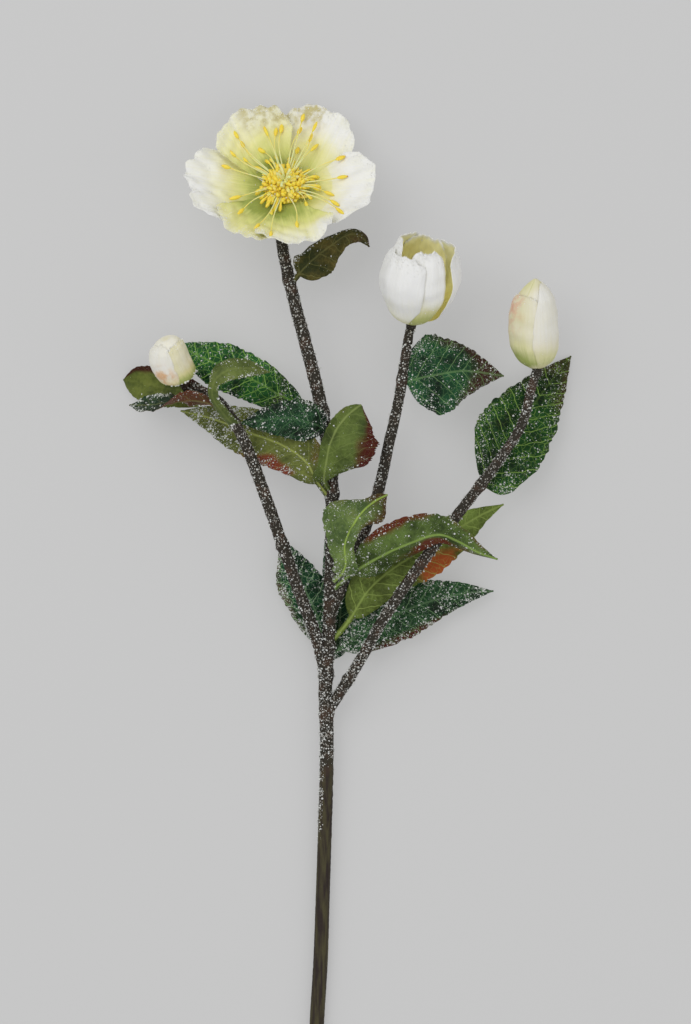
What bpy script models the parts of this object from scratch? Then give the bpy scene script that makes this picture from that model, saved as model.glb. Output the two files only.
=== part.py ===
# Hellebore spray lying on a table: a branched stem, one open bloom, one opening bud,
# two closed buds and sixteen toothed leaves. Lengths below are in millimetres.
# The stem runs along Y with its cut end at -Y, and Z is up from the table.

import random
from math import radians

import bmesh
import bpy
import numpy as np
from mathutils import Matrix, Vector

MM = 0.001
GAP = 0.3
STALK_GAP = 0.5
FOOTPRINT_CENTRE = (0.44, -0.66)

# Stem routes: x, y, height above the table, radius
STEM_ROUTES = {
    "main": [
        (-13.4, -206.2, 2.8, 3.1), (-12.4, -180.0, 2.9, 3.1), (-10.9, -155.0, 3.1, 3.1),
        (-10.0, -128.9, 3.6, 3.0), (-9.0, -98.0, 4.6, 2.95), (-8.4, -78.0, 5.6, 2.9),
        (-8.3, -55.0, 7.2, 2.9), (-8.8, -40.7, 8.6, 2.9), (-7.6, -19.7, 12.0, 2.8),
        (-6.4, 5.0, 14.5, 2.8), (-6.1, 30.0, 15.8, 2.8), (-6.2, 48.0, 16.0, 2.75),
        (-8.0, 64.3, 16.0, 2.75), (-12.0, 84.5, 16.0, 2.75), (-16.6, 102.5, 16.0, 2.7),
        (-21.3, 120.0, 16.0, 2.6), (-24.6, 134.0, 15.8, 2.5), (-26.8, 145.0, 15.0, 2.4),
        (-27.2, 152.0, 14.6, 2.4), (-26.4, 160.0, 14.8, 2.3),
    ],
    "left": [
        (-8.9, -33.0, 10.0, 2.4), (-13.5, -15.8, 14.5, 2.5), (-18.7, -2.4, 18.0, 2.5),
        (-26.6, 20.2, 22.0, 2.5), (-36.3, 47.5, 25.5, 2.5), (-42.1, 62.5, 27.3, 2.4),
        (-47.0, 71.9, 28.8, 2.1), (-51.6, 79.0, 29.8, 1.8), (-57.6, 83.8, 30.4, 1.5),
        (-65.0, 86.6, 30.8, 1.5),
    ],
    "middle": [
        (-6.4, -8.0, 13.0, 2.3), (-2.0, 3.5, 13.0, 2.4), (7.6, 26.5, 14.5, 2.45),
        (13.1, 42.0, 16.0, 2.45), (18.1, 64.3, 18.5, 2.3), (21.9, 81.1, 20.0, 2.2),
        (24.4, 97.9, 21.4, 2.05), (26.4, 110.0, 22.0, 1.9),
    ],
    "right": [
        (-7.6, -49.4, 8.0, 2.2), (-2.1, -40.7, 11.0, 2.3), (6.8, -26.1, 17.0, 2.3),
        (14.5, -12.1, 21.5, 2.3), (23.2, 1.3, 24.0, 2.3), (33.8, 16.3, 25.0, 2.3),
        (43.9, 29.9, 25.0, 2.25), (54.4, 43.3, 23.5, 2.2), (65.7, 58.5, 21.0, 2.1),
        (73.3, 70.9, 20.2, 2.0), (77.2, 85.6, 20.0, 1.9), (79.2, 92.4, 19.6, 1.9),
    ],
}
STEM_STEP = 9.0
PATH_SAMPLES = 240

# Leaves. "on" is the branch and "foot" the place there. "midrib" is what the rib passes
# through, and its last point is the tip. "roll" turns the blade about its midrib along
# its length: 0 shows the upper face, 180 the underside. "sides", "fold" and "cup" are
# the reach of each half, its angle at the rib and its bend out to the edge, right half
# first. "point" is 1 for a straight taper to the tip and 2 for a round one.
LEAVES = {
    "leaf_bloom": dict(
        on="main", foot=(-23.6, 131.0, 16.0), lead=2.0,
        midrib=[(-16.8, 136.6, 20.0), (-7.0, 144.8, 26.0), (1.5, 149.8, 27.0), (6.6, 148.6, 23.5),
                (9.4, 144.8, 18.0)],
        width=20.0, belly=0.36, point=1.2, petiole=0.12, roll=(180, 185, 200, 235),
        sides=(1.0, 0.95), fold=(-15, -5), cup=(-75, -15), wave=0.5, tone="dark"),
    "leaf_left_back": dict(
        on="left", foot=(-51.0, 78.0, 29.6), lead=2.5,
        midrib=[(-57.6, 81.0, 23.8), (-66.0, 83.8, 18.0), (-78.3, 86.4, 10.0),
                (-86.7, 88.4, 5.0), (-93.6, 89.5, 1.4)],
        width=17.0, belly=0.6, point=2.2, petiole=0.2, roll=(180, 178, 175, 172),
        sides=(1.0, 1.0), fold=(-8, -8), cup=(-16, -14), wave=0.7, tone="red"),
    "leaf_left_front": dict(
        on="left", foot=(-49.6, 76.0, 29.3), lead=3.0,
        midrib=[(-57.0, 79.6, 34.0), (-66.0, 80.6, 33.5), (-74.5, 79.2, 29.5),
                (-82.5, 78.4, 23.0), (-90.6, 78.7, 14.0)],
        width=14.0, belly=0.5, point=1.6, petiole=0.2, roll=(140, 130, 80, 55),
        sides=(1.0, 1.0), fold=(8, 8), cup=(10, 10), wave=0.8, tone="red"),
    "leaf_left_arched": dict(
        on="left", foot=(-46.6, 71.2, 28.6), lead=3.0, stalk=1.9,
        midrib=[(-51.4, 76.0, 35.5), (-55.2, 82.4, 39.0), (-54.2, 88.6, 41.0),
                (-49.4, 92.4, 42.0), (-42.6, 93.6, 41.0), (-31.9, 92.0, 36.0)],
        width=12.0, belly=0.45, point=1.7, petiole=0.45, roll=(150, 130, 115, 100),
        sides=(1.0, 1.0), fold=(0, 0), cup=(-20, -20), wave=0.5, tone="pale"),
    "leaf_upper_far": dict(
        on="main", foot=(-10.8, 78.0, 16.0), lead=2.0,
        midrib=[(-19.5, 79.4, 14.5), (-27.0, 82.4, 14.5), (-35.5, 87.4, 15.0),
                (-44.3, 91.6, 15.0), (-56.0, 96.6, 13.0), (-71.6, 104.2, 9.0)],
        width=20.5, belly=0.58, point=1.8, petiole=0.14, roll=(0, 0, 5, 8),
        sides=(1.0, 1.0), fold=(6, 6), cup=(-14, -14), wave=0.8, tone="dark"),
    "leaf_upper_near": dict(
        on="main", foot=(-8.8, 68.0, 16.0), lead=2.0,
        midrib=[(-11.5, 69.8, 22.5), (-16.5, 71.4, 25.0), (-23.7, 73.1, 26.0),
                (-34.2, 72.3, 26.5), (-44.5, 70.8, 24.5)],
        width=18.0, belly=0.36, point=1.5, petiole=0.1, roll=(0, 0, 0, 0),
        sides=(1.0, 1.0), fold=(5, 5), cup=(-12, -12), wave=0.8, tone="dark"),
    "leaf_mid_left": dict(
        on="main", foot=(-6.1, 40.6, 16.0), lead=2.0,
        midrib=[(-12.0, 46.4, 18.9), (-17.0, 55.0, 20.0), (-26.6, 61.8, 20.0),
                (-38.4, 66.4, 19.5), (-57.3, 73.4, 16.0), (-69.3, 76.3, 13.5)],
        width=23.5, belly=0.42, point=1.7, petiole=0.13, roll=(180, 180, 178, 165),
        sides=(1.0, 1.0), fold=(-6, -6), cup=(-8, -12), wave=0.9, tone="red"),
    "leaf_mid_right": dict(
        on="main", foot=(-6.1, 44.0, 16.0), lead=2.0,
        midrib=[(-9.2, 47.0, 21.0), (-8.6, 54.0, 23.5), (-8.0, 63.0, 25.0),
                (-7.2, 71.0, 25.0), (-5.0, 78.6, 23.5)],
        width=25.0, belly=0.5, point=1.6, petiole=0.17, roll=(180, 180, 180, 180),
        sides=(0.35, 1.6), fold=(-8, -5), cup=(-14, -12), wave=0.5, tone="red"),
    "leaf_hub_up": dict(
        on="main", foot=(-6.2, 6.0, 14.6), lead=3.0,
        midrib=[(-0.4, 12.0, 27.0), (-0.8, 19.6, 31.2), (1.8, 27.2, 34.2), (6.6, 34.2, 34.6),
                (11.6, 38.4, 32.0), (17.0, 41.2, 28.0)],
        width=24.0, belly=0.55, point=2.0, petiole=0.16, roll=(180, 180, 180, 180),
        sides=(0.8, 1.0), fold=(-12, -4), cup=(-10, -6), wave=0.6, tone="pale"),
    "leaf_hub_right": dict(
        on="main", foot=(-6.3, 3.0, 14.3), lead=3.0,
        midrib=[(1.2, 7.4, 20.7), (9.5, 13.0, 25.0), (24.2, 20.2, 33.0), (38.5, 24.6, 37.0),
                (46.0, 22.0, 36.0), (54.0, 17.6, 33.0), (62.8, 14.3, 29.0)],
        width=22.0, belly=0.4, point=1.25, petiole=0.18, roll=(180, 180, 180, 180),
        sides=(1.1, 0.9), fold=(-5, 52), cup=(-22, 10), wave=0.8, tone="pale"),
    "leaf_right_behind": dict(
        on="main", foot=(-7.6, -20.0, 12.0), lead=3.0,
        midrib=[(0.6, -12.1, 12.5), (9.9, 2.1, 14.0), (20.4, 11.0, 15.0), (30.9, 17.7, 15.0),
                (43.5, 25.2, 14.0), (56.1, 32.6, 11.5), (65.8, 37.2, 9.0)],
        width=22.5, belly=0.42, point=1.5, petiole=0.16, roll=(180, 180, 180, 180),
        sides=(1.0, 1.0), fold=(-5, -5), cup=(-10, -10), wave=0.7, tone="pale"),
    "leaf_lower_right": dict(
        on="main", foot=(-7.9, -25.5, 11.1), lead=2.0,
        midrib=[(0.0, -21.0, 9.5), (9.9, -14.2, 8.5), (22.5, -8.2, 8.5), (35.1, -3.4, 8.0),
                (47.7, -0.4, 7.5), (61.6, 0.9, 6.0)],
        width=23.5, belly=0.4, point=1.45, petiole=0.1, roll=(0, 0, 0, 0),
        sides=(1.0, 1.0), fold=(8, 8), cup=(-12, -12), wave=0.9, tone="red"),
    "leaf_lower_left": dict(
        on="main", foot=(-8.2, -26.0, 11.0), lead=0.8,
        midrib=[(-9.6, -20.5, 5.8), (-11.8, -11.0, 7.0), (-14.6, -4.0, 7.6), (-19.0, 4.4, 7.6),
                (-23.4, 13.0, 7.4), (-27.0, 22.4, 6.0)],
        width=20.0, belly=0.5, point=1.7, petiole=0.14, roll=(0, 0, 0, 0),
        sides=(1.0, 1.0), fold=(5, 5), cup=(-10, -10), wave=0.6, tone="dark"),
    "leaf_lower_centre": dict(
        on="main", foot=(-8.3, -32.0, 10.0), lead=0.8,
        midrib=[(-5.4, -25.0, 4.6), (-3.0, -14.0, 3.6), (-2.6, -3.0, 3.0), (-4.0, 7.0, 3.0),
                (-9.0, 22.6, 3.6)],
        width=16.5, belly=0.45, point=1.7, petiole=0.14, roll=(0, 0, 0, 0),
        sides=(1.0, 1.0), fold=(5, 5), cup=(-8, -8), wave=0.5, tone="dark"),
    "leaf_goblet_bud": dict(
        on="middle", foot=(23.3, 89.3, 20.8), lead=1.6,
        midrib=[(29.4, 89.5, 20.5), (40.1, 91.7, 20.0), (49.0, 92.9, 18.0), (65.8, 90.9, 13.0)],
        width=35.0, belly=0.33, point=1.12, petiole=0.05, roll=(0, 0, 0, 0),
        sides=(1.0, 1.0), fold=(5, 5), cup=(-14, -12), wave=0.6, tone="dark"),
    "leaf_right_bud": dict(
        on="right", foot=(55.6, 45.0, 23.2), lead=1.2,
        midrib=[(60.4, 47.2, 17.3), (64.4, 54.6, 15.5), (69.4, 64.6, 12.5), (77.0, 76.8, 9.0),
                (85.4, 88.4, 5.0), (94.3, 99.4, 1.2)],
        width=32.0, belly=0.34, point=1.5, petiole=0.13, roll=(0, 0, 0, 0),
        sides=(0.8, 1.36), fold=(4, 4), cup=(-12, -12), wave=0.7, tone="dark"),
}
LEAF_TEETH = 8
TOOTH_LEAN = 0.72
TOOTH_NOTCH = 0.91
SMOOTH_SHARES = (0.05, 0.13, 0.23)
TEETH_START = 0.3
LEAF_THICKNESS = 1.5
BLADE_SHARE = 0.5
STALK_HALF = 1.2
TIP_HALF = 0.6
LEAF_COLUMNS = (-1.0, -0.55, 0.0, 0.55, 1.0)
WAVES_PER_LEAF = 3.5

# Open bloom, in its own frame: Z is the flower's axis, which leans up the stem
BLOOM_CENTRE = (-25.8, 166.6, 18.0)
BLOOM_AXIS = (0.0, 0.574, 0.819)
BLOOM_REACH = 38.0
BLOOM_DEPTH = 13.0
BLOOM_CLAW = 4.1
BLOOM_HEAD = ((-9.0, 2.2), (-3.0, 3.7), (4.3, 3.7))
LAYER_STEP = 1.5
# name: direction, length from the centre, layer, half-angle, edge curl
BLOOM_PETALS = {
    "petal_left": (186, 41.0, 0, 38, -1.2),
    "petal_top_left": (120, 37.0, 2, 37, 1.2),
    "petal_top_right": (62, 39.0, 0, 37, -0.8),
    "petal_right": (350, 38.0, 1, 40, 0.4),
    "petal_bottom_right": (280, 38.0, 2, 34, 2.0),
    "petal_bottom_left": (236, 36.0, 1, 33, 0.4),
}
PETAL_THICKNESS = 0.6

# Opening bud: axis, length and the radius of its cup at each share of its length
GOBLET_BASE = (27.2, 113.2, 23.0)
GOBLET_AXIS = (0.13, 0.87, 0.46)
GOBLET_LENGTH = 35.0
GOBLET_HEAD = ((-4.0, 1.9), (0.0, 2.3), (3.0, 2.3))
GOBLET_SHAPE = ((0, 2.7), (0.06, 6.4), (0.15, 9.8), (0.4, 13.6), (0.6, 14.2), (0.8, 12.8), (1, 9.6))
GOBLET_LAYER = 1.4
# name: direction, layer, half-angle, share of the length
GOBLET_PETALS = {
    "goblet_petal_right": (5, 2, 54, 1.0),
    "goblet_petal_back": (80, 0, 48, 1.0),
    "goblet_petal_left_back": (139, 2, 44, 0.96),
    "goblet_petal_front_left": (211, 1, 48, 1.08),
    "goblet_petal_front_right": (284, 0, 37, 0.96),
}

# Closed buds: foot, axis, length, bow to the left, radius at each share of the length
BUD_HEAD = ((-4.0, 1.7), (-2.5, 2.0), (-0.3, 2.0))
CLOSED_BUDS = {
    "bud_right": dict(
        foot=(79.4, 94.3, 20.0), axis=(-0.02, 0.98, 0.2), length=37.5, turn=200, bow=1.3,
        shape=((0, 2.6), (0.05, 6.2), (0.14, 9.0), (0.3, 10.5), (0.5, 10.8), (0.68, 9.8),
               (0.84, 6.8), (0.95, 3.2), (1, 0.8))),
    "bud_left": dict(
        foot=(-67.3, 88.2, 31.5), axis=(-0.33, 0.80, 0.50), length=21.0, turn=80, bow=0.6,
        shape=((0, 3.0), (0.06, 6.4), (0.2, 8.6), (0.42, 9.3), (0.62, 9.2), (0.8, 7.8),
               (0.93, 5.0), (1, 2.0))),
}
BUD_LAYERS = 3
BUD_LAYER_SINK = 0.10

# Base colour (linear), roughness
FINISHES = {
    "stem_bark": ((0.040, 0.030, 0.020), 0.75),
    "leaf_dark": ((0.045, 0.105, 0.030), 0.6),
    "leaf_red": ((0.150, 0.110, 0.045), 0.6),
    "leaf_pale": ((0.190, 0.260, 0.070), 0.6),
    "petal_cream": ((0.780, 0.770, 0.600), 0.7),
    "anther_yellow": ((0.700, 0.480, 0.030), 0.6),
    "style_cream": ((0.850, 0.800, 0.500), 0.6),
}


def clear_scene():
    for obj in list(bpy.data.objects):
        bpy.data.objects.remove(obj, do_unlink=True)


def finish(name):
    if name in bpy.data.materials:
        return bpy.data.materials[name]
    colour, roughness = FINISHES[name]
    material = bpy.data.materials.new(name)
    material.use_nodes = True
    shader = material.node_tree.nodes["Principled BSDF"]
    shader.inputs["Base Color"].default_value = (*colour, 1.0)
    shader.inputs["Roughness"].default_value = roughness
    shader.inputs["Metallic"].default_value = 0.0
    return material


def empty(name, matrix, parent=None):
    obj = bpy.data.objects.new(name, None)
    bpy.context.scene.collection.objects.link(obj)
    obj.parent = parent
    obj.matrix_local = matrix
    return obj


def add_object(name, mesh, parent, material):
    obj = bpy.data.objects.new(name, mesh)
    bpy.context.scene.collection.objects.link(obj)
    obj.parent = parent
    mesh.materials.clear()
    mesh.materials.append(finish(material))
    return obj


# Paths: smooth curves through a route's points

def smooth_path(points, samples):
    # A curve through every point, with slopes from its neighbours
    points = np.asarray(points, float)
    gaps = np.linalg.norm(np.diff(points[:, :3], axis=0), axis=1) ** 0.5
    knots = np.concatenate([[0], np.cumsum(gaps)])
    slopes = np.gradient(points, knots, axis=0)
    place = np.linspace(0, knots[-1], samples)
    index = np.clip(np.searchsorted(knots, place, side="right") - 1, 0, len(knots) - 2)
    span = (knots[index + 1] - knots[index])[:, None]
    t = (place - knots[index])[:, None] / span
    return ((2 * t ** 3 - 3 * t ** 2 + 1) * points[index]
            + (t ** 3 - 2 * t ** 2 + t) * span * slopes[index]
            + (3 * t ** 2 - 2 * t ** 3) * points[index + 1]
            + (t ** 3 - t ** 2) * span * slopes[index + 1])


def at_stations(path, stations):
    steps = np.linalg.norm(np.diff(path[:, :3], axis=0), axis=1)
    length = np.concatenate([[0], np.cumsum(steps)])
    wanted = np.asarray(stations) * length[-1]
    return np.stack([np.interp(wanted, length, path[:, k]) for k in range(path.shape[1])], axis=1)


def path_length(path):
    return float(np.linalg.norm(np.diff(path[:, :3], axis=0), axis=1).sum())


def unit(vector):
    return vector / np.linalg.norm(vector, axis=-1, keepdims=True)


def stem_path(branch):
    return smooth_path(STEM_ROUTES[branch], PATH_SAMPLES)


def flower_matrix(foot, axis):
    # A flower's own frame: X across to the right, Y across and away, Z along its axis
    along = Vector(axis).normalized()
    right = Vector((1, 0, 0))
    right = (right - right.dot(along) * along).normalized()
    turn = Matrix((right, along.cross(right), along)).transposed().to_4x4()
    return Matrix.Translation(Vector(foot) * MM) @ turn


# Solids

def mesh_from_grid(name, grid, origin=(0, 0, 0)):
    rows, columns = grid.shape[:2]
    corners = [(r * columns + c, r * columns + c + 1, (r + 1) * columns + c + 1, (r + 1) * columns + c)
               for r in range(rows - 1) for c in range(columns - 1)]
    mesh = bpy.data.meshes.new(name)
    points = (grid.reshape(-1, 3) - np.asarray(origin)) * MM
    mesh.from_pydata(points.tolist(), [], corners)
    shape = bmesh.new()
    shape.from_mesh(mesh)
    bmesh.ops.triangulate(shape, faces=shape.faces, quad_method="FIXED")
    shape.to_mesh(mesh)
    shape.free()
    return mesh


def thicken(obj, thickness, weights=None):
    modifier = obj.modifiers.new("thickness", "SOLIDIFY")
    modifier.thickness = thickness * MM
    modifier.offset = 0.0
    modifier.use_even_offset = False
    modifier.use_rim = True
    if weights is not None:
        group = obj.vertex_groups.new(name="rib")
        for index, weight in enumerate(weights):
            group.add([index], float(weight), "REPLACE")
        modifier.vertex_group = "rib"


def rings_to_mesh(name, rings, closed_ring=False):
    # Rings of equal count joined in order, with both ends capped or the last ring
    # joined to the first
    count = len(rings[0])
    shape = bmesh.new()
    loops = [[shape.verts.new([value * MM for value in point]) for point in ring] for ring in rings]
    pairs = list(zip(loops, loops[1:]))
    if closed_ring:
        pairs.append((loops[-1], loops[0]))
    for first, second in pairs:
        for k in range(count):
            after = (k + 1) % count
            shape.faces.new((first[k], first[after], second[after], second[k]))
    if not closed_ring:
        shape.faces.new(loops[0][::-1])
        shape.faces.new(loops[-1])
    bmesh.ops.recalc_face_normals(shape, faces=shape.faces)
    mesh = bpy.data.meshes.new(name)
    shape.to_mesh(mesh)
    shape.free()
    return mesh


def lofted(name, path, radii, sides):
    # A round or few-sided rod along a path, with its radius given at each point
    path = np.asarray(path, float)
    along = unit(np.gradient(path, axis=0))
    guide = np.array([0.31, 0.17, 0.93])
    first = unit(np.cross(along, guide))
    second = np.cross(along, first)
    angles = np.arange(sides) / sides * 2 * np.pi
    rings = [[path[i] + radii[i] * (np.cos(a) * first[i] + np.sin(a) * second[i]) for a in angles]
             for i in range(len(path))]
    return rings_to_mesh(name, rings)


def join_solids(name, meshes, parent, material, solver="EXACT"):
    # One body out of overlapping solids
    repeats = bpy.data.collections.new(name + "_repeats")
    bpy.context.scene.collection.children.link(repeats)
    for mesh in meshes[1:]:
        repeats.objects.link(bpy.data.objects.new(mesh.name, mesh))
    base = bpy.data.objects.new(name + "_base", meshes[0])
    bpy.context.scene.collection.objects.link(base)
    union = base.modifiers.new("union", "BOOLEAN")
    union.operation = "UNION"
    union.operand_type = "COLLECTION"
    union.solver = solver
    union.collection = repeats
    bpy.context.view_layer.update()
    evaluated = base.evaluated_get(bpy.context.evaluated_depsgraph_get())
    joined = bpy.data.meshes.new_from_object(evaluated)
    joined.name = name
    for obj in list(repeats.objects) + [base]:
        bpy.data.objects.remove(obj, do_unlink=True)
    bpy.data.collections.remove(repeats)
    return add_object(name, joined, parent, material)


# Stem

def stem_tube(branch):
    path = stem_path(branch)
    count = max(4, round(path_length(path) / STEM_STEP))
    points = at_stations(path, np.linspace(0, 1, count))
    curve = bpy.data.curves.new(branch, "CURVE")
    curve.dimensions = "3D"
    curve.bevel_depth = MM
    curve.bevel_resolution = 3
    curve.use_fill_caps = True
    curve.twist_mode = "Z_UP"
    spline = curve.splines.new("POLY")
    spline.points.add(count - 1)
    for knot, (x, y, z, radius) in zip(spline.points, points):
        knot.co = (x * MM, y * MM, z * MM, 1.0)
        knot.radius = radius
    obj = bpy.data.objects.new(branch, curve)
    bpy.context.scene.collection.objects.link(obj)
    bpy.context.view_layer.update()
    evaluated = obj.evaluated_get(bpy.context.evaluated_depsgraph_get())
    mesh = bpy.data.meshes.new_from_object(evaluated)
    bpy.data.objects.remove(obj, do_unlink=True)
    return mesh


def stem_head(foot, axis, profile):
    # The swollen stem end that carries a flower, as heights and radii along its axis
    path = [(0, 0, height) for height, _ in profile]
    mesh = lofted("stem_head", path, [radius for _, radius in profile], 12)
    mesh.transform(flower_matrix(foot, axis))
    return mesh


def build_stem(parent):
    solids = [stem_tube(branch) for branch in STEM_ROUTES]
    solids.append(stem_head(BLOOM_CENTRE, BLOOM_AXIS, BLOOM_HEAD))
    solids.append(stem_head(GOBLET_BASE, GOBLET_AXIS, GOBLET_HEAD))
    for bud in CLOSED_BUDS.values():
        solids.append(stem_head(bud["foot"], bud["axis"], BUD_HEAD))
    stem = join_solids("stem", solids, parent, "stem_bark")
    for vertex in stem.data.vertices:
        vertex.co.z = max(vertex.co.z, 0.0)


# Leaves

def stem_touch(branch, foot, aim):
    # Where a stalk leaves the stem: the point just off its bark, and the way out
    path = stem_path(branch)
    nearest = int(np.argmin(np.linalg.norm(path[:, :3] - np.asarray(foot), axis=1)))
    centre, radius = path[nearest, :3], path[nearest, 3]
    along = unit(np.gradient(path[:, :3], axis=0))[nearest]
    out = np.asarray(aim) - centre
    out = unit(out - out.dot(along) * along)
    return centre + out * (radius + STALK_GAP), out


def leaf_stations(petiole):
    # A smooth lower margin, then two rows a tooth: the notch, and the point that leans
    # to the leaf's tip
    blade = 1 - petiole
    pitch = blade * (1 - TEETH_START) / (LEAF_TEETH + 0.5)
    stations = [0.0, petiole * 0.5, petiole] + [petiole + blade * share for share in SMOOTH_SHARES]
    cuts = [1.0] * len(stations)
    for tooth in range(LEAF_TEETH):
        start = petiole + blade * TEETH_START + pitch * tooth
        stations += [start, start + TOOTH_LEAN * pitch]
        cuts += [TOOTH_NOTCH, 1.0]
    return np.array(stations + [1.0]), np.array(cuts + [1.0])


def leaf_half_width(stations, spec):
    # A narrow stalk, then a blade with an elliptic shoulder up to its widest place and a
    # taper from there to the tip
    blade = np.clip((stations - spec["petiole"]) / (1 - spec["petiole"]), 0, 1)
    belly = spec["belly"]
    shoulder = np.sqrt(1 - (1 - np.minimum(blade, belly) / belly) ** 2)
    taper = 1 - (np.maximum(blade - belly, 0) / (1 - belly)) ** spec["point"]
    stalk = spec.get("stalk", STALK_HALF)
    stalk = stalk + (TIP_HALF - stalk) * blade
    return np.maximum(0.5 * spec["width"] * np.minimum(shoulder, taper), stalk)


def arc_across(share, fold, cup):
    # Run and rise of one half of the blade, which leaves the rib at an angle and bends
    start, bend = np.radians(fold), np.radians(cup + 0.01)
    run = (np.sin(start + bend * share) - np.sin(start)) / bend
    rise = (np.cos(start) - np.cos(start + bend * share)) / bend
    return run, rise


def untwisted_normals(along):
    # Straight up at the middle of the leaf, and carried from there without any twist
    count = len(along)
    up = np.zeros((count, 3))
    middle = count // 2
    up[middle] = unit(np.array([0.0, 0.0, 1.0]) - along[middle] * along[middle, 2])
    for row in range(middle + 1, count):
        up[row] = unit(up[row - 1] - along[row] * along[row].dot(up[row - 1]))
    for row in range(middle - 1, -1, -1):
        up[row] = unit(up[row + 1] - along[row] * along[row].dot(up[row + 1]))
    return up


def leaf_grid(spec, phase):
    foot, out = stem_touch(spec["on"], spec["foot"], spec["midrib"][0])
    midrib = smooth_path([foot, foot + out * spec["lead"], *spec["midrib"]], PATH_SAMPLES)
    stations, cuts = leaf_stations(spec["petiole"])
    rib = at_stations(midrib, stations)
    along = unit(at_stations(np.gradient(midrib, axis=0), stations))
    up = untwisted_normals(along)
    roll = np.radians(np.interp(stations, np.linspace(0, 1, 4), spec["roll"]))[:, None]
    normal = np.cos(roll) * up + np.sin(roll) * np.cross(along, up)
    across = np.cross(along, normal)
    half = leaf_half_width(stations, spec)
    blade = np.clip((stations - spec["petiole"]) * 6, 0, 1)
    calm = blade * (1 - stations ** 6)
    columns = []
    for place in LEAF_COLUMNS:
        side = 0 if place > 0 else 1
        share = abs(place)
        run, rise = arc_across(share, spec["fold"][side] * blade, spec["cup"][side] * blade)
        edge = 1 + (cuts - 1) * max(0.0, share - 0.4) / 0.6
        reach = half * (1 + (spec["sides"][side] - 1) * blade) * edge
        wave = spec["wave"] * share ** 2 * calm * np.sin(
            2 * np.pi * WAVES_PER_LEAF * stations + phase + 1.7 * side)
        columns.append(rib + across * (np.sign(place) * reach * run)[:, None]
                       + normal * (reach * rise + wave)[:, None])
    return foot, np.stack(columns, axis=1)


def build_leaf(name, spec, phase, parent):
    foot, grid = leaf_grid(spec, phase)
    mesh = mesh_from_grid(name, grid, origin=foot)
    leaf = add_object(name, mesh, parent, "leaf_" + spec["tone"])
    leaf.location = [value * MM for value in foot]
    weights = np.full(grid.shape[:2], BLADE_SHARE)
    weights[:, len(LEAF_COLUMNS) // 2] = 1.0
    weights[:2, :] = 1.0
    weights[-1, :] = BLADE_SHARE
    thicken(leaf, LEAF_THICKNESS, weights.ravel())


# Open bloom

def bloom_height(radius, angle):
    # A shallow bowl whose surface ripples more towards the rim
    share = radius / BLOOM_REACH
    ripple = 1.1 * share ** 2 * np.sin(7 * angle + 0.6) + 0.5 * share ** 3 * np.sin(13 * angle + 1.9)
    return BLOOM_DEPTH * share ** 1.7 + ripple


def bloom_petal_grid(direction, length, layer, half_angle, curl, rows=9, columns=9):
    # Polar sheet: a narrow claw that spreads to a broad blade with a ruffled, rounded rim
    out = np.linspace(0, 1, rows)[:, None]
    across = np.linspace(-1, 1, columns)[None, :]
    spread = 26 + (half_angle - 26) * np.clip(out / 0.4, 0, 1)
    angle = np.radians(direction + across * spread)
    rim = length * (0.70 + 0.30 * np.sqrt(1 - 0.96 * across ** 2))
    rim = rim * (1 + 0.02 * np.sin(9 * across + direction))
    radius = BLOOM_CLAW + (rim - BLOOM_CLAW) * out ** 0.9
    height = (bloom_height(radius, angle) + LAYER_STEP * layer
              + curl * np.abs(across) ** 3 * out ** 2)
    return np.stack([radius * np.cos(angle), radius * np.sin(angle), height], axis=2)


def build_bloom(parent):
    bloom = empty("bloom", flower_matrix(BLOOM_CENTRE, BLOOM_AXIS), parent)
    for name, petal in BLOOM_PETALS.items():
        mesh = mesh_from_grid(name, bloom_petal_grid(*petal))
        thicken(add_object(name, mesh, bloom, "petal_cream"), PETAL_THICKNESS)
    build_stamens(bloom)
    build_pistil(bloom)


def boss_ring(rng, segments=22):
    # The domed cushion of packed anthers, a lumpy ring about the pistil
    profile = ((3.1, 4.7), (6.4, 4.9), (9.2, 6.2), (9.9, 8.0), (8.2, 10.0), (5.0, 10.4), (3.1, 8.4))
    rings = []
    for k in range(segments):
        angle = 2 * np.pi * k / segments
        lump = rng.uniform(0.94, 1.06)
        rings.append([(radius * lump * np.cos(angle) if i in (2, 3, 4) else radius * np.cos(angle),
                       radius * lump * np.sin(angle) if i in (2, 3, 4) else radius * np.sin(angle),
                       height) for i, (radius, height) in enumerate(profile)])
    return rings_to_mesh("boss", rings, closed_ring=True)


def stamen(name, angle, reach, lift, rng):
    # A thin filament that leaves the boss, follows the bowl and ends in a plump anther
    end_height = bloom_height(reach, angle) + 2 * LAYER_STEP + lift
    sway = rng.uniform(-0.10, 0.10)
    heights = (6.8, 0.45 * end_height + 5.2, end_height, end_height + 0.5, end_height + 1.0)
    radii_out = (6.0, 0.45 * reach + 2.5, reach - 3.6, reach - 1.4, reach)
    path = [(r * np.cos(angle + sway * r / reach), r * np.sin(angle + sway * r / reach), h)
            for r, h in zip(radii_out, heights)]
    return lofted(name, path, (0.5, 0.42, 0.42, 0.95, 0.3), 4)


def short_stamen(name, angle, rng):
    # One of the stubby inner stamens that stand up from the boss
    foot, lean = rng.uniform(4.6, 8.2), rng.uniform(0.5, 2.6)
    top = rng.uniform(10.6, 12.6)
    path = [(r * np.cos(angle), r * np.sin(angle), h)
            for r, h in ((foot, 7.2), (foot + 0.5 * lean, 0.5 * (7.2 + top)), (foot + lean, top))]
    return lofted(name, path, (0.8, 0.9, 0.45), 4)


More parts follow.
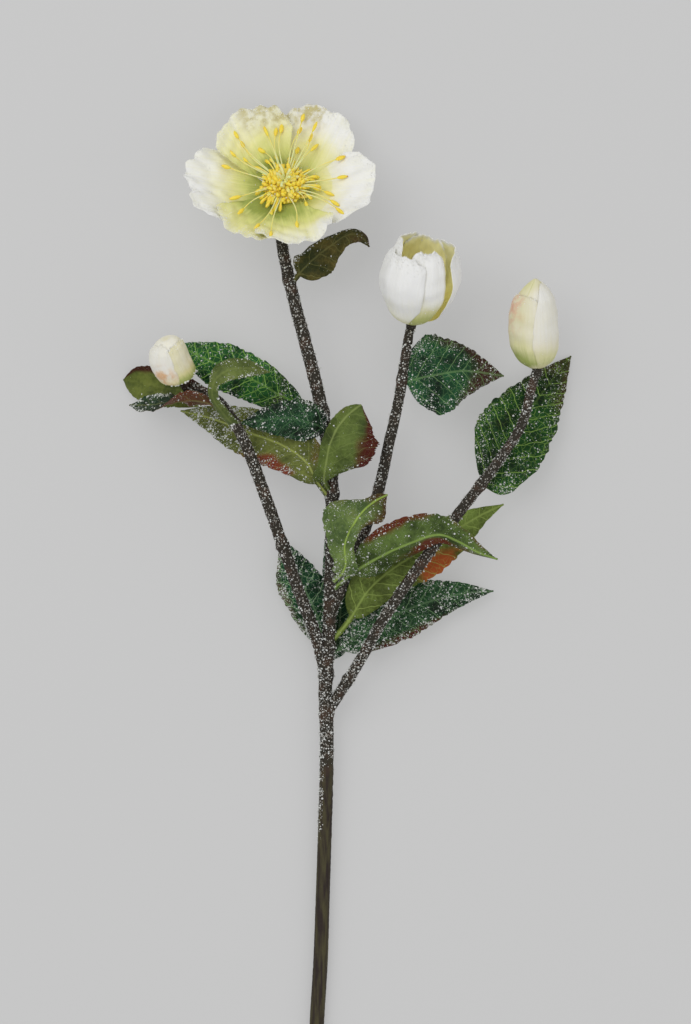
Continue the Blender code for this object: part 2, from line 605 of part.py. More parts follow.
def build_stamens(parent, long_count=24, short_count=34):
    rng = random.Random(11)
    solids = [boss_ring(rng)]
    for k in range(long_count):
        angle = 2 * np.pi * (k + rng.uniform(-0.3, 0.3)) / long_count
        solids.append(stamen(f"long_{k}", angle, rng.uniform(20, 28), rng.uniform(1.3, 2.6), rng))
    for k in range(short_count):
        angle = 2 * np.pi * (k + rng.uniform(-0.3, 0.3)) / short_count
        solids.append(short_stamen(f"short_{k}", angle, rng))
    join_solids("bloom_stamens", solids, parent, "anther_yellow")


def build_pistil(parent, styles=5):
    # Pale styles that spread from one foot in the middle of the boss
    foot = lofted("foot", [(0, 0, BLOOM_HEAD[-1][0] + GAP), (0, 0, 7.0)], (2.3, 2.0), 10)
    solids = [foot]
    for k in range(styles):
        angle = 2 * np.pi * k / styles + 0.4
        path = [(r * np.cos(angle), r * np.sin(angle), h)
                for r, h in ((1.0, 6.0), (1.2, 10.0), (2.0, 13.0), (3.6, 14.6))]
        solids.append(lofted(f"style_{k}", path, (0.7, 0.55, 0.5, 0.3), 5))
    join_solids("bloom_pistil", solids, parent, "style_cream")


# Opening bud

def goblet_petal_grid(direction, layer, half_angle, share, rows=9, columns=9):
    # A sheet wrapped round the cup, with a narrow claw and a rounded, slightly wavy lip
    out = np.linspace(0, 1, rows)[:, None]
    across = np.linspace(-1, 1, columns)[None, :]
    lip = share * (0.80 + 0.20 * np.sqrt(1 - 0.98 * across ** 2))
    height = out * lip * (1 + 0.015 * np.sin(6 * across + direction))
    stations, radii = zip(*GOBLET_SHAPE)
    spread = 24 + (half_angle - 24) * np.clip(out / 0.35, 0, 1)
    angle = np.radians(direction + across * spread)
    radius = np.interp(height, stations, radii) + GOBLET_LAYER * layer * np.clip(height / 0.08, 0, 1)
    radius = radius + 0.35 * np.sin(5 * angle) * np.clip(height, 0, 1)
    return np.stack([radius * np.cos(angle), radius * np.sin(angle), height * GOBLET_LENGTH], axis=2)


def build_goblet(parent):
    goblet = empty("goblet_bud", flower_matrix(GOBLET_BASE, GOBLET_AXIS), parent)
    for name, petal in GOBLET_PETALS.items():
        mesh = mesh_from_grid(name, goblet_petal_grid(*petal))
        thicken(add_object(name, mesh, goblet, "petal_cream"), PETAL_THICKNESS)
    rng = random.Random(6)
    cushion = [(0, 0, GOBLET_HEAD[-1][0] + GAP), (0, 0, 6.0), (0, 0, 9.0)]
    solids = [lofted("cushion", cushion, (2.0, 2.4, 2.6), 9)]
    for k in range(10):
        angle = 2 * np.pi * (k + 0.4) / 10
        lean = rng.uniform(2.4, 4.6)
        top = rng.uniform(15.0, 19.0)
        path = [(r * np.cos(angle), r * np.sin(angle), h)
                for r, h in ((1.2, 6.0), (lean, 12.0), (lean + 0.8, top))]
        solids.append(lofted(f"inner_{k}", path, (0.7, 0.6, 0.9), 4))
    join_solids("goblet_stamens", solids, goblet, "anther_yellow")


# Closed buds

def closed_bud_rings(spec):
    # Overlapping petals: each starts proud of the last and sinks as it wraps round
    per_layer = 8
    shares, starts = [], []
    for layer in range(BUD_LAYERS):
        for k in range(per_layer + 1):
            share = min(k / per_layer, 0.97)
            shares.append(share)
            starts.append((layer + share) / BUD_LAYERS)
    shares, starts = np.array(shares), np.array(starts)
    heights = np.array([0, 0.02, 0.05, 0.1, 0.17, 0.26, 0.38, 0.5, 0.62, 0.73, 0.83, 0.91, 0.97, 1.0])
    stations, radii = zip(*spec["shape"])
    rings = []
    for height in heights:
        angle = 2 * np.pi * starts + radians(spec["turn"]) + 0.9 * height
        sink = BUD_LAYER_SINK * np.sin(np.pi * np.clip(height * 1.1, 0, 1)) ** 0.5
        radius = np.interp(height, stations, radii) * (1 - sink * shares)
        bow = spec["bow"] * np.sin(np.pi * height)
        rings.append(np.stack([radius * np.cos(angle) - bow, radius * np.sin(angle),
                               np.full_like(radius, height * spec["length"])], axis=1))
    return rings


def build_closed_bud(name, spec, parent):
    mesh = rings_to_mesh(name, closed_bud_rings(spec))
    bud = add_object(name, mesh, parent, "petal_cream")
    bud.matrix_local = flower_matrix(spec["foot"], spec["axis"])


def build():
    clear_scene()
    centre = Vector((*FOOTPRINT_CENTRE, 0)) * MM
    spray = empty("spray", Matrix.Translation(-centre))
    build_stem(spray)
    for index, (name, spec) in enumerate(LEAVES.items()):
        build_leaf(name, spec, 1.3 * index, spray)
    build_bloom(spray)
    build_goblet(spray)
    for name, spec in CLOSED_BUDS.items():
        build_closed_bud(name, spec, spray)


build()
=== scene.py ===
import bpy
import numpy as np
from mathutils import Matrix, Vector


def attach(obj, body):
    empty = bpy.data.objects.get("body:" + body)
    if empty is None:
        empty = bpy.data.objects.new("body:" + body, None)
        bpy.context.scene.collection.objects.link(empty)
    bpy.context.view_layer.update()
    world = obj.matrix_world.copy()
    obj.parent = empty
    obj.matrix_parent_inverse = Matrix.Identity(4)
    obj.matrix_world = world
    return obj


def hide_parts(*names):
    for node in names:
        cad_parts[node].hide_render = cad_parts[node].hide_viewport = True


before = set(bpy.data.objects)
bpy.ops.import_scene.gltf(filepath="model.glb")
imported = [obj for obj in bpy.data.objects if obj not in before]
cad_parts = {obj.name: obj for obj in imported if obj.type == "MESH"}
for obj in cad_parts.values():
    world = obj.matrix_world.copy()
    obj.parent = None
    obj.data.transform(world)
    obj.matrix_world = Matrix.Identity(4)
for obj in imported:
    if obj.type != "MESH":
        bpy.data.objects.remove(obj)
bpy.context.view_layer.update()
mm = 0.001
layoutCentre = np.array([0.44, -0.66, 0.0])  # middle of the spray's footprint
print("frame loaded:", len(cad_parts), "nodes")


# numbers and paths

def unit(vectors):
    return vectors / np.maximum(np.linalg.norm(vectors, axis=-1, keepdims=True), 1e-9)


def ease(value, low, high):
    # 0 below low, 1 above high, 3t^2 - 2t^3 between them
    t = np.clip((value - low) / (high - low), 0, 1)
    return t * t * (3 - 2 * t)


def ripple(x, seed, waves=5, slowest=1.0, fastest=6.0):
    # sum of seeded sines of x, of mean size about 1
    rng = np.random.default_rng(seed)
    speeds = np.linspace(slowest, fastest, waves) * rng.uniform(0.85, 1.15, waves)
    phases = rng.uniform(0, 2 * np.pi, waves)
    return sum(np.sin(2 * np.pi * s * x + p) for s, p in zip(speeds, phases)) / waves ** 0.5


def mottle(x, y, size, seed):
    # patches about one size across: nine seeded plane waves added up, of mean size about 1
    rng = np.random.default_rng(seed)
    total = 0
    for way, pitch, phase in rng.uniform((0, 1.2, 0), (2 * np.pi, 3.2, 2 * np.pi), (9, 3)):
        total = total + np.sin((x * np.cos(way) + y * np.sin(way)) / (size * pitch) * 2 * np.pi + phase)
    return total / 2.1


def softCurve(places, values, at, width=7):
    # straight lines through the values, then a moving mean that rounds their corners
    fine = np.linspace(places[0], places[-1], 100)
    half = width // 2
    padded = np.pad(np.interp(fine, places, values), half, mode="reflect", reflect_type="odd")
    return np.interp(at, fine, np.convolve(padded, np.ones(width) / width, mode="valid"))


def smoothPath(points, samples=400):
    # cubic through every point, with the slope at each from its two neighbours
    points = np.asarray(points, float)
    knots = np.concatenate([[0], np.cumsum(np.linalg.norm(np.diff(points[:, :3], axis=0), axis=1) ** 0.5)])
    slopes = np.gradient(points, knots, axis=0)
    place = np.linspace(0, knots[-1], samples)
    index = np.clip(np.searchsorted(knots, place, side="right") - 1, 0, len(knots) - 2)
    span = (knots[index + 1] - knots[index])[:, None]
    t = (place - knots[index])[:, None] / span
    return ((2 * t ** 3 - 3 * t ** 2 + 1) * points[index] + (t ** 3 - 2 * t ** 2 + t) * span * slopes[index]
            + (3 * t ** 2 - 2 * t ** 3) * points[index + 1] + (t ** 3 - t ** 2) * span * slopes[index + 1])


def pathLength(path):
    return float(np.linalg.norm(np.diff(path[:, :3], axis=0), axis=1).sum())


def alongPath(path, stations):
    # values of the path at shares of its length
    length = np.concatenate([[0], np.cumsum(np.linalg.norm(np.diff(path[:, :3], axis=0), axis=1))])
    return np.stack([np.interp(np.asarray(stations) * length[-1], length, path[:, k])
                     for k in range(path.shape[1])], axis=1)


def flowerFrame(foot, axis):
    # a flower's own axes: right, away and along its axis, and its foot
    along = unit(np.array(axis, float))
    right = unit(np.array([1.0, 0, 0]) - along[0] * along)
    return np.array(foot, float), np.stack([right, np.cross(along, right), along])


def toLayout(points, flower):
    foot, axes = flower
    return points @ axes + foot


# meshes

def gridFaces(rows, columns, closed=False):
    index = np.arange(rows * columns).reshape(rows, columns)
    if closed:
        index = np.concatenate([index, index[:, :1]], axis=1)
    return np.stack([index[:-1, :-1], index[:-1, 1:], index[1:, 1:], index[1:, :-1]], axis=-1).reshape(-1,
                                                                                                       4)


def sheetShell(upper, under):
    # two grids of one size, back to back, joined round their rim
    rows, columns = upper.shape[:2]
    index = np.arange(rows * columns).reshape(rows, columns)
    top = gridFaces(rows, columns)
    bottom = top[:, ::-1] + rows * columns
    rim = np.concatenate([index[0, :-1], index[:-1, -1], index[-1, :0:-1], index[:0:-1, 0]])
    after = np.roll(rim, -1)
    side = np.stack([after, rim, rim + rows * columns, after + rows * columns], axis=-1)
    points = np.concatenate([upper.reshape(-1, 3), under.reshape(-1, 3)])
    return points, [np.concatenate([top, bottom, side])]


def tubeShell(path, radii, sides):
    # circle of given radius carried along a path, closed to a point at both ends
    path = np.asarray(path, float)
    along = unit(np.gradient(path, axis=0))
    guide = np.eye(3)[np.argmin(np.abs(along.mean(axis=0)))]
    first = unit(np.cross(along, guide))
    second = np.cross(along, first)
    angle = np.arange(sides) / sides * 2 * np.pi
    radii = np.broadcast_to(np.asarray(radii, float).reshape(len(path), -1), (len(path), sides))
    rings = (path[:, None] + radii[..., None] * (np.cos(angle)[None, :, None] * first[:, None]
             + np.sin(angle)[None, :, None] * second[:, None]))
    points = np.concatenate([rings.reshape(-1, 3), path[:1], path[-1:]])
    count = len(path) * sides
    ring = np.arange(sides)
    last = count - sides + ring
    caps = np.concatenate([np.stack([np.roll(ring, -1), ring, np.full(sides, count)], axis=-1),
                           np.stack([last, np.roll(last, -1), np.full(sides, count + 1)], axis=-1)])
    return points, [gridFaces(len(path), sides, closed=True), caps]


def hullFaces(corners, reach):
    # every three corners that are nearest neighbours, turned to face outwards
    count = len(corners)
    gap = np.linalg.norm(corners[:, None] - corners[None], axis=-1)
    near = (gap < reach) & (gap > 0)
    faces = []
    for i, j, k in [(i, j, k) for i in range(count) for j in range(i + 1, count) for k in range(j + 1,
                                                                                                count)
                    if near[i, j] and near[j, k] and near[i, k]]:
        outward = np.dot(np.cross(corners[j] - corners[i], corners[k] - corners[i]), corners[i]) > 0
        faces.append((i, j, k) if outward else (i, k, j))
    return np.array(faces)


golden = 1.618  # ratio that places a twenty-sided crumb's corners
crumbFrom = 0.27  # radius in mm from which a grain is a crumb
speckCorners = np.concatenate([np.eye(3), -np.eye(3)])
crumbCorners = unit(np.array([corner for a in (-1, 1) for b in (-golden, golden)
                              for corner in ((0, a, b), (a, b, 0), (b, 0, a))], float))
speck = (speckCorners, hullFaces(speckCorners, 1.5))  # 8 faces
crumb = (crumbCorners, hullFaces(crumbCorners, 1.2))  # 20 faces


def snowShells(places, outward, radii, rng):
    # flock grains: jittered eight-sided specks, and twenty-sided crumbs where they are bigger,
    # each turned at random and half sunk in
    shells = []
    for (corners, faces), chosen in ((speck, radii < crumbFrom), (crumb, radii >= crumbFrom)):
        count = int(chosen.sum())
        if not count:
            continue
        w, x, y, z = unit(rng.normal(size=(count, 4))).T
        turn = np.stack([1 - 2 * (y * y + z * z), 2 * (x * y - z * w), 2 * (x * z + y * w),
                         2 * (x * y + z * w), 1 - 2 * (x * x + z * z), 2 * (y * z - x * w),
                         2 * (x * z - y * w), 2 * (y * z + x * w), 1 - 2 * (x * x + y * y)], axis=1)
        grains = (corners[None] * rng.uniform(0.75, 1.25, (count, len(corners), 1))
                  * rng.uniform(0.6, 1.4, (count, 1, 3)))
        grains = np.einsum("nij,nkj->nki", turn.reshape(-1, 3, 3), grains)
        size = radii[chosen, None, None]
        points = places[chosen, None] + (outward[chosen, None] * 0.3 + grains) * size
        numbered = faces[None] + len(corners) * np.arange(count)[:, None, None]
        shells.append((points.reshape(-1, 3), [numbered.reshape(-1, 3)], 1, {}))
    return shells


def makePiece(name, shells, materials, node):
    # one mesh out of shells: (points, face arrays, material number, marks by name)
    points = np.concatenate([shell[0] for shell in shells])
    starts = np.concatenate([[0], np.cumsum([len(shell[0]) for shell in shells])])
    loops, sizes, slots = [], [], []
    for first, shell in zip(starts, shells):
        for faces in shell[1]:
            loops.append((faces + first).ravel())
            sizes.append(np.full(len(faces), faces.shape[1]))
            slots.append(np.full(len(faces), shell[2]))
    loops, sizes, slots = np.concatenate(loops), np.concatenate(sizes), np.concatenate(slots)
    mesh = bpy.data.meshes.new(name)
    mesh.vertices.add(len(points))
    mesh.vertices.foreach_set("co", ((points - layoutCentre) * mm).astype(np.float32).ravel())
    mesh.loops.add(len(loops))
    mesh.polygons.add(len(sizes))
    mesh.polygons.foreach_set("loop_start", np.concatenate([[0], np.cumsum(sizes)[:-1]]).astype(np.int32))
    mesh.loops.foreach_set("vertex_index", loops.astype(np.int32))
    mesh.polygons.foreach_set("material_index", slots.astype(np.int32))
    mesh.polygons.foreach_set("use_smooth", np.ones(len(sizes), bool))
    marks = sorted({mark for shell in shells for mark in shell[3]})
    for mark in marks:
        wide = any(np.ndim(shell[3].get(mark, 0)) == 2 for shell in shells)
        values = [np.asarray(shell[3][mark], np.float32) if mark in shell[3]
                  else np.zeros((len(shell[0]), 3) if wide else len(shell[0]),
                                np.float32) for shell in shells]
        attribute = mesh.attributes.new(mark, "FLOAT_VECTOR" if wide else "FLOAT", "POINT")
        attribute.data.foreach_set("vector" if wide else "value", np.concatenate(values).ravel())
    mesh.update(calc_edges=True)
    mesh.validate()
    for material in materials:
        mesh.materials.append(material)
    piece = bpy.data.objects.new(name, mesh)
    bpy.context.scene.collection.objects.link(piece)
    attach(piece, "root")
    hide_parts(node)
    return piece


# materials

def fromHex(code):
    # sRGB hex to the linear colour that a shader takes
    channel = np.array([int(code[i:i + 2], 16) for i in (1, 3, 5)]) / 255
    linear = np.where(channel <= 0.04045, channel / 12.92, ((channel + 0.055) / 1.055) ** 2.4)
    return (*[float(c) for c in linear], 1.0)


def addNode(tree, kind, links=None, **settings):
    # a node, its own settings, and its inputs: a value, or another node's output
    node = tree.nodes.new("ShaderNode" + kind)
    for key, value in settings.items():
        setattr(node, key, value)
    for key, value in (links or {}).items():
        if isinstance(value, bpy.types.NodeSocket):
            tree.links.new(value, node.inputs[key])
        else:
            node.inputs[key].default_value = value
    return node


def newMaterial(name, **values):
    material = bpy.data.materials.new(name)
    material.use_nodes = True
    tree = material.node_tree
    shader = tree.nodes["Principled BSDF"]
    for key, value in values.items():
        shader.inputs[key.replace("_", " ")].default_value = value
    return material, tree, shader


def snowMaterial(name, dark, light):
    # flock snow: cut white fibre in glue, dull and slightly grey, with bright grains
    material, tree, shader = newMaterial(name, Roughness=0.9)
    place = addNode(tree, "TexCoord").outputs["Object"]
    grain = addNode(tree, "TexNoise", {"Vector": place, "Scale": 1 / 0.0009, "Detail": 2.0}).outputs["Fac"]
    tone = addNode(tree, "Mix", {0: grain, 6: fromHex(dark), 7: fromHex(light)}, data_type="RGBA")
    tree.links.new(tone.outputs[2], shader.inputs["Base Color"])
    return material


def leafMaterial(name, look):
    # printed polyester leaf: dull green cloth, a paler printed vein net, painted red-brown margins,
    # and fine flock that the grains of the mesh are too coarse for
    material, tree, shader = newMaterial(name, Specular_IOR_Level=0.12)
    place = addNode(tree, "TexCoord").outputs["Object"]
    cloth = addNode(tree, "Attribute", attribute_name="cloth").outputs["Vector"]
    flush = addNode(tree, "Attribute", attribute_name="flush").outputs["Fac"]
    snow = addNode(tree, "Attribute", attribute_name="snow").outputs["Fac"]
    parts = addNode(tree, "SeparateXYZ", {0: cloth})
    away = addNode(tree, "Math", {0: parts.outputs["Y"]}, operation="ABSOLUTE").outputs[0]
    cloud = addNode(tree, "TexNoise", {"Vector": place, "Scale": 1 / 0.010, "Detail": 3.0}).outputs["Fac"]
    grain = addNode(tree, "TexNoise", {"Vector": place, "Scale": 1 / 0.0012, "Detail": 3.0}).outputs["Fac"]
    bend = addNode(tree, "TexNoise", {"Vector": cloth, "Scale": 1 / 3.5, "Detail": 1.0})
    shift = addNode(tree, "VectorMath", {0: bend.outputs["Color"], 1: (0.5, 0.5, 0.5)},
                    operation="SUBTRACT")
    shift = addNode(tree, "VectorMath", {0: shift.outputs[0], 3: 2.2}, operation="SCALE").outputs[0]
    bent = addNode(tree, "VectorMath", {0: cloth, 1: shift}, operation="ADD").outputs[0]
    # net: cells 2.3 mm wide, drawn a little bolder than printed so that it shows
    net = addNode(tree, "TexVoronoi", {"Vector": bent, "Scale": 1 / 2.3},
                  feature="DISTANCE_TO_EDGE", voronoi_dimensions="2D").outputs["Distance"]
    net = addNode(tree, "MapRange", {"Value": net, "From Min": 0.0, "From Max": 0.075,
                                     "To Min": 1.0, "To Max": 0.0},
                  interpolation_type="SMOOTHSTEP").outputs[0]
    worn = addNode(tree, "MapRange", {"Value": cloud, "From Min": 0.38, "From Max": 0.6,
                                      "To Min": 0.25, "To Max": 1.0}).outputs[0]
    net = addNode(tree, "Math", {0: net, 1: worn}, operation="MULTIPLY").outputs[0]
    # side veins: a pair every 6.5 mm, leaving the rib at about 50 degrees
    bentParts = addNode(tree, "SeparateXYZ", {0: bent})
    slant = addNode(tree, "Math", {0: away, 1: -0.85, 2: bentParts.outputs["X"]},
                    operation="MULTIPLY_ADD").outputs[0]
    side = addNode(tree, "Math", {0: slant, 1: 3.25}, operation="PINGPONG").outputs[0]
    side = addNode(tree, "MapRange", {"Value": side, "From Min": 0.05, "From Max": 0.34,
                                      "To Min": 0.85, "To Max": 0.0},
                   interpolation_type="SMOOTHSTEP").outputs[0]
    rib = addNode(tree, "MapRange", {"Value": away, "From Min": 0.15, "From Max": 0.7,
                                     "To Min": look["rib"], "To Max": 0.0},
                  interpolation_type="SMOOTHSTEP").outputs[0]
    netShare = addNode(tree, "Math", {0: net, 1: look["net"]}, operation="MULTIPLY").outputs[0]
    sideShare = addNode(tree, "Math", {0: side, 1: min(1.0, look["net"] * 1.4)},
                        operation="MULTIPLY").outputs[0]
    veins = addNode(tree, "Math", {0: netShare, 1: sideShare}, operation="MAXIMUM").outputs[0]
    veins = addNode(tree, "Math", {0: veins, 1: rib}, operation="MAXIMUM").outputs[0]
    dye = addNode(tree, "Math", {0: grain, 1: 0.35, 2: cloud}, operation="MULTIPLY_ADD").outputs[0]
    dye = addNode(tree, "MapRange", {"Value": dye, "From Min": 0.5, "From Max": 0.82}).outputs[0]
    upper = addNode(tree, "Mix", {0: dye, 6: fromHex(look["upperDark"]), 7: fromHex(look["upper"])},
                    data_type="RGBA").outputs[2]
    under = addNode(tree, "Mix", {0: dye, 6: fromHex(look["underDark"]), 7: fromHex(look["under"])},
                    data_type="RGBA").outputs[2]
    colour = addNode(tree, "Mix", {0: parts.outputs["Z"], 6: under, 7: upper}, data_type="RGBA").outputs[2]
    uneven = addNode(tree, "MapRange", {"Value": cloud, "From Min": 0.3, "From Max": 0.7,
                                        "To Min": -0.28, "To Max": 0.28}).outputs[0]
    blush = addNode(tree, "Math", {0: flush, 1: uneven}, operation="ADD").outputs[0]
    blush = addNode(tree, "MapRange", {"Value": blush, "From Min": 0.25, "From Max": 0.85},
                    interpolation_type="SMOOTHSTEP").outputs[0]
    colour = addNode(tree, "Mix", {0: blush, 6: colour, 7: fromHex(look["blush"])},
                     data_type="RGBA").outputs[2]
    colour = addNode(tree, "Mix", {0: veins, 6: colour, 7: fromHex(look["vein"])},
                     data_type="RGBA").outputs[2]
    # flecks: cells of 1 mm and 0.6 mm, each with a dot whose size follows the snow there
    patch = addNode(tree, "TexNoise", {"Vector": place, "Scale": 1 / 0.005, "Detail": 3.0}).outputs["Fac"]
    patch = addNode(tree, "MapRange", {"Value": patch, "From Min": 0.3, "From Max": 0.65,
                                       "To Min": 0.1, "To Max": 1.3}).outputs[0]
    cover = addNode(tree, "Math", {0: snow, 1: patch}, operation="MULTIPLY").outputs[0]
    flecks = None
    for cell, most in ((0.0010, 0.46), (0.0006, 0.44)):
        dots = addNode(tree, "TexVoronoi", {"Vector": place, "Scale": 1 / cell})
        chance = addNode(tree, "SeparateXYZ", {0: dots.outputs["Color"]}).outputs["X"]
        size = addNode(tree, "MapRange", {"Value": chance, "To Min": 0.1, "To Max": most}).outputs[0]
        size = addNode(tree, "Math", {0: size, 1: cover}, operation="MULTIPLY").outputs[0]
        dot = addNode(tree, "Math", {0: size, 1: dots.outputs["Distance"]}, operation="SUBTRACT").outputs[0]
        dot = addNode(tree, "MapRange", {"Value": dot, "From Min": -0.03, "From Max": 0.06}).outputs[0]
        flecks = dot if flecks is None else addNode(tree, "Math", {0: flecks, 1: dot},
                                                    operation="MAXIMUM").outputs[0]
    colour = addNode(tree, "Mix", {0: flecks, 6: colour, 7: fromHex("#cfd2cc")},
                     data_type="RGBA").outputs[2]
    tree.links.new(colour, shader.inputs["Base Color"])
    rough = addNode(tree, "MapRange", {"Value": flecks, "To Min": look["rough"], "To Max": 0.92}).outputs[0]
    tree.links.new(rough, shader.inputs["Roughness"])
    raised = addNode(tree, "Math", {0: veins, 1: 0.5, 2: flecks}, operation="MULTIPLY_ADD").outputs[0]
    raised = addNode(tree, "Math", {0: grain, 1: 0.4, 2: raised}, operation="MULTIPLY_ADD").outputs[0]
    bump = addNode(tree, "Bump", {"Height": raised, "Distance": 0.0003, "Strength": 0.7})
    tree.links.new(bump.outputs[0], shader.inputs["Normal"])
    return material


def petalMaterial(name, look):
    # thin brushed polyester petal: matt, pale, lets some light through, with fine pressed streaks
    material, tree, shader = newMaterial(name, Roughness=0.62, Specular_IOR_Level=0.3,
                                         Subsurface_Weight=0.12,
                                         Subsurface_Scale=0.002)
    shader.inputs["Subsurface Radius"].default_value = (1.0, 0.95, 0.8)
    place = addNode(tree, "TexCoord").outputs["Object"]
    cloth = addNode(tree, "Attribute", attribute_name="cloth").outputs["Vector"]
    tint = addNode(tree, "Attribute", attribute_name="tint").outputs["Fac"]
    blotch = addNode(tree, "Attribute", attribute_name="blotch").outputs["Fac"]
    parts = addNode(tree, "SeparateXYZ", {0: cloth})
    # streaks run from the foot to the rim: 1 mm wide and 25 mm long
    stretched = addNode(tree, "Mapping", {"Vector": cloth, "Scale": (0.04, 1.0, 1.0)}).outputs[0]
    streak = addNode(tree, "TexNoise", {"Vector": stretched, "Scale": 1.0, "Detail": 3.0}).outputs["Fac"]
    cloud = addNode(tree, "TexNoise", {"Vector": place, "Scale": 1 / 0.012, "Detail": 3.0}).outputs["Fac"]
    uneven = addNode(tree, "Math", {0: streak, 1: 0.3, 2: -0.15}, operation="MULTIPLY_ADD").outputs[0]
    cloudy = addNode(tree, "Math", {0: cloud, 1: 0.5, 2: -0.25}, operation="MULTIPLY_ADD").outputs[0]
    amount = addNode(tree, "Math", {0: tint, 1: uneven}, operation="ADD").outputs[0]
    amount = addNode(tree, "Math", {0: amount, 1: cloudy}, operation="ADD", use_clamp=True).outputs[0]
    ramp = addNode(tree, "ValToRGB", {"Fac": amount})
    ramp.color_ramp.elements[0].color = fromHex(look["tints"][0][1])
    ramp.color_ramp.elements[1].color = fromHex(look["tints"][-1][1])
    for share, code in look["tints"][1:-1]:
        ramp.color_ramp.elements.new(share).color = fromHex(code)
    outer = ramp.outputs["Color"]
    # inner face: the inside colour moves towards insideDark as the tint mark rises; on the goblet that mark
    # is painted shade deeper in the cup
    inner = addNode(tree, "Mix", {0: amount, 6: fromHex(look["inside"]), 7: fromHex(look["insideDark"])},
                    data_type="RGBA").outputs[2]
    inward = addNode(tree, "Math", {0: parts.outputs["Z"], 1: look["insideShare"]},
                     operation="MULTIPLY").outputs[0]
    colour = addNode(tree, "Mix", {0: inward, 6: outer, 7: inner}, data_type="RGBA").outputs[2]
    speck = addNode(tree, "TexNoise", {"Vector": place, "Scale": 1 / 0.003, "Detail": 4.0}).outputs["Fac"]
    speck = addNode(tree, "MapRange", {"Value": speck, "From Min": 0.4, "From Max": 0.6}).outputs[0]
    stain = addNode(tree, "Math", {0: speck, 1: 0.8, 2: 0.15}, operation="MULTIPLY_ADD").outputs[0]
    stain = addNode(tree, "Math", {0: stain, 1: blotch}, operation="MULTIPLY", use_clamp=True).outputs[0]
    colour = addNode(tree, "Mix", {0: stain, 6: colour, 7: fromHex(look["blotch"])},
                     data_type="RGBA").outputs[2]
    tree.links.new(colour, shader.inputs["Base Color"])
    grain = addNode(tree, "TexNoise", {"Vector": place, "Scale": 1 / 0.0008, "Detail": 2.0}).outputs["Fac"]
    raised = addNode(tree, "Math", {0: streak, 1: 2.0, 2: grain}, operation="MULTIPLY_ADD").outputs[0]
    bump = addNode(tree, "Bump", {"Height": raised, "Distance": 0.0003, "Strength": 0.35})
    tree.links.new(bump.outputs[0], shader.inputs["Normal"])
    return material


def stemMaterial():
    # wire stem dipped in dark brown plastic: rough, blotched red-brown, bare and streaked at the cut end
    material, tree, shader = newMaterial("dippedStem", Roughness=0.7, Specular_IOR_Level=0.35)
    place = addNode(tree, "TexCoord").outputs["Object"]
    snow = addNode(tree, "Attribute", attribute_name="snow").outputs["Fac"]
    cloud = addNode(tree, "TexNoise", {"Vector": place, "Scale": 1 / 0.006, "Detail": 3.0}).outputs["Fac"]
    grain = addNode(tree, "TexNoise", {"Vector": place, "Scale": 1 / 0.0011, "Detail": 3.0}).outputs["Fac"]
    red = addNode(tree, "MapRange", {"Value": cloud, "From Min": 0.53, "From Max": 0.68}).outputs[0]
    dipped = addNode(tree, "Mix", {0: red, 6: fromHex("#29241a"), 7: fromHex("#402e21")},
                     data_type="RGBA").outputs[2]
    drawn = addNode(tree, "VectorMath", {0: place, 1: (1.0, 0.1, 1.0)}, operation="MULTIPLY").outputs[0]
    streak = addNode(tree, "TexNoise", {"Vector": drawn, "Scale": 1 / 0.0016, "Detail": 2.0}).outputs["Fac"]
    streak = addNode(tree, "MapRange", {"Value": streak, "From Min": 0.4, "From Max": 0.62}).outputs[0]
    bare = addNode(tree, "Mix", {0: streak, 6: fromHex("#271c16"), 7: fromHex("#454026")},
                   data_type="RGBA").outputs[2]
    height = addNode(tree, "SeparateXYZ", {0: place}).outputs["Y"]
    bareness = addNode(tree, "MapRange", {"Value": height, "From Min": -0.085, "From Max": -0.062,
                                          "To Min": 1.0, "To Max": 0.0}).outputs[0]
    colour = addNode(tree, "Mix", {0: bareness, 6: dipped, 7: bare}, data_type="RGBA").outputs[2]
    dots = addNode(tree, "TexVoronoi", {"Vector": place, "Scale": 1 / 0.0008})
    chance = addNode(tree, "SeparateXYZ", {0: dots.outputs["Color"]}).outputs["X"]
    size = addNode(tree, "Math", {0: chance, 1: snow}, operation="MULTIPLY").outputs[0]
    dot = addNode(tree, "Math", {0: size, 1: 0.5}, operation="MULTIPLY").outputs[0]
    dot = addNode(tree, "Math", {0: dot, 1: dots.outputs["Distance"]}, operation="SUBTRACT").outputs[0]
    flecks = addNode(tree, "MapRange", {"Value": dot, "From Min": -0.03, "From Max": 0.05}).outputs[0]
    dust = addNode(tree, "Mix", {0: grain, 6: fromHex("#7d766b"), 7: fromHex("#c9c6bf")},
                   data_type="RGBA").outputs[2]
    colour = addNode(tree, "Mix", {0: flecks, 6: colour, 7: dust}, data_type="RGBA").outputs[2]
    tree.links.new(colour, shader.inputs["Base Color"])
    raised = addNode(tree, "Math", {0: flecks, 1: 0.8, 2: grain}, operation="MULTIPLY_ADD").outputs[0]
    bump = addNode(tree, "Bump", {"Height": raised, "Distance": 0.0004, "Strength": 0.8})
    tree.links.new(bump.outputs[0], shader.inputs["Normal"])
    return material


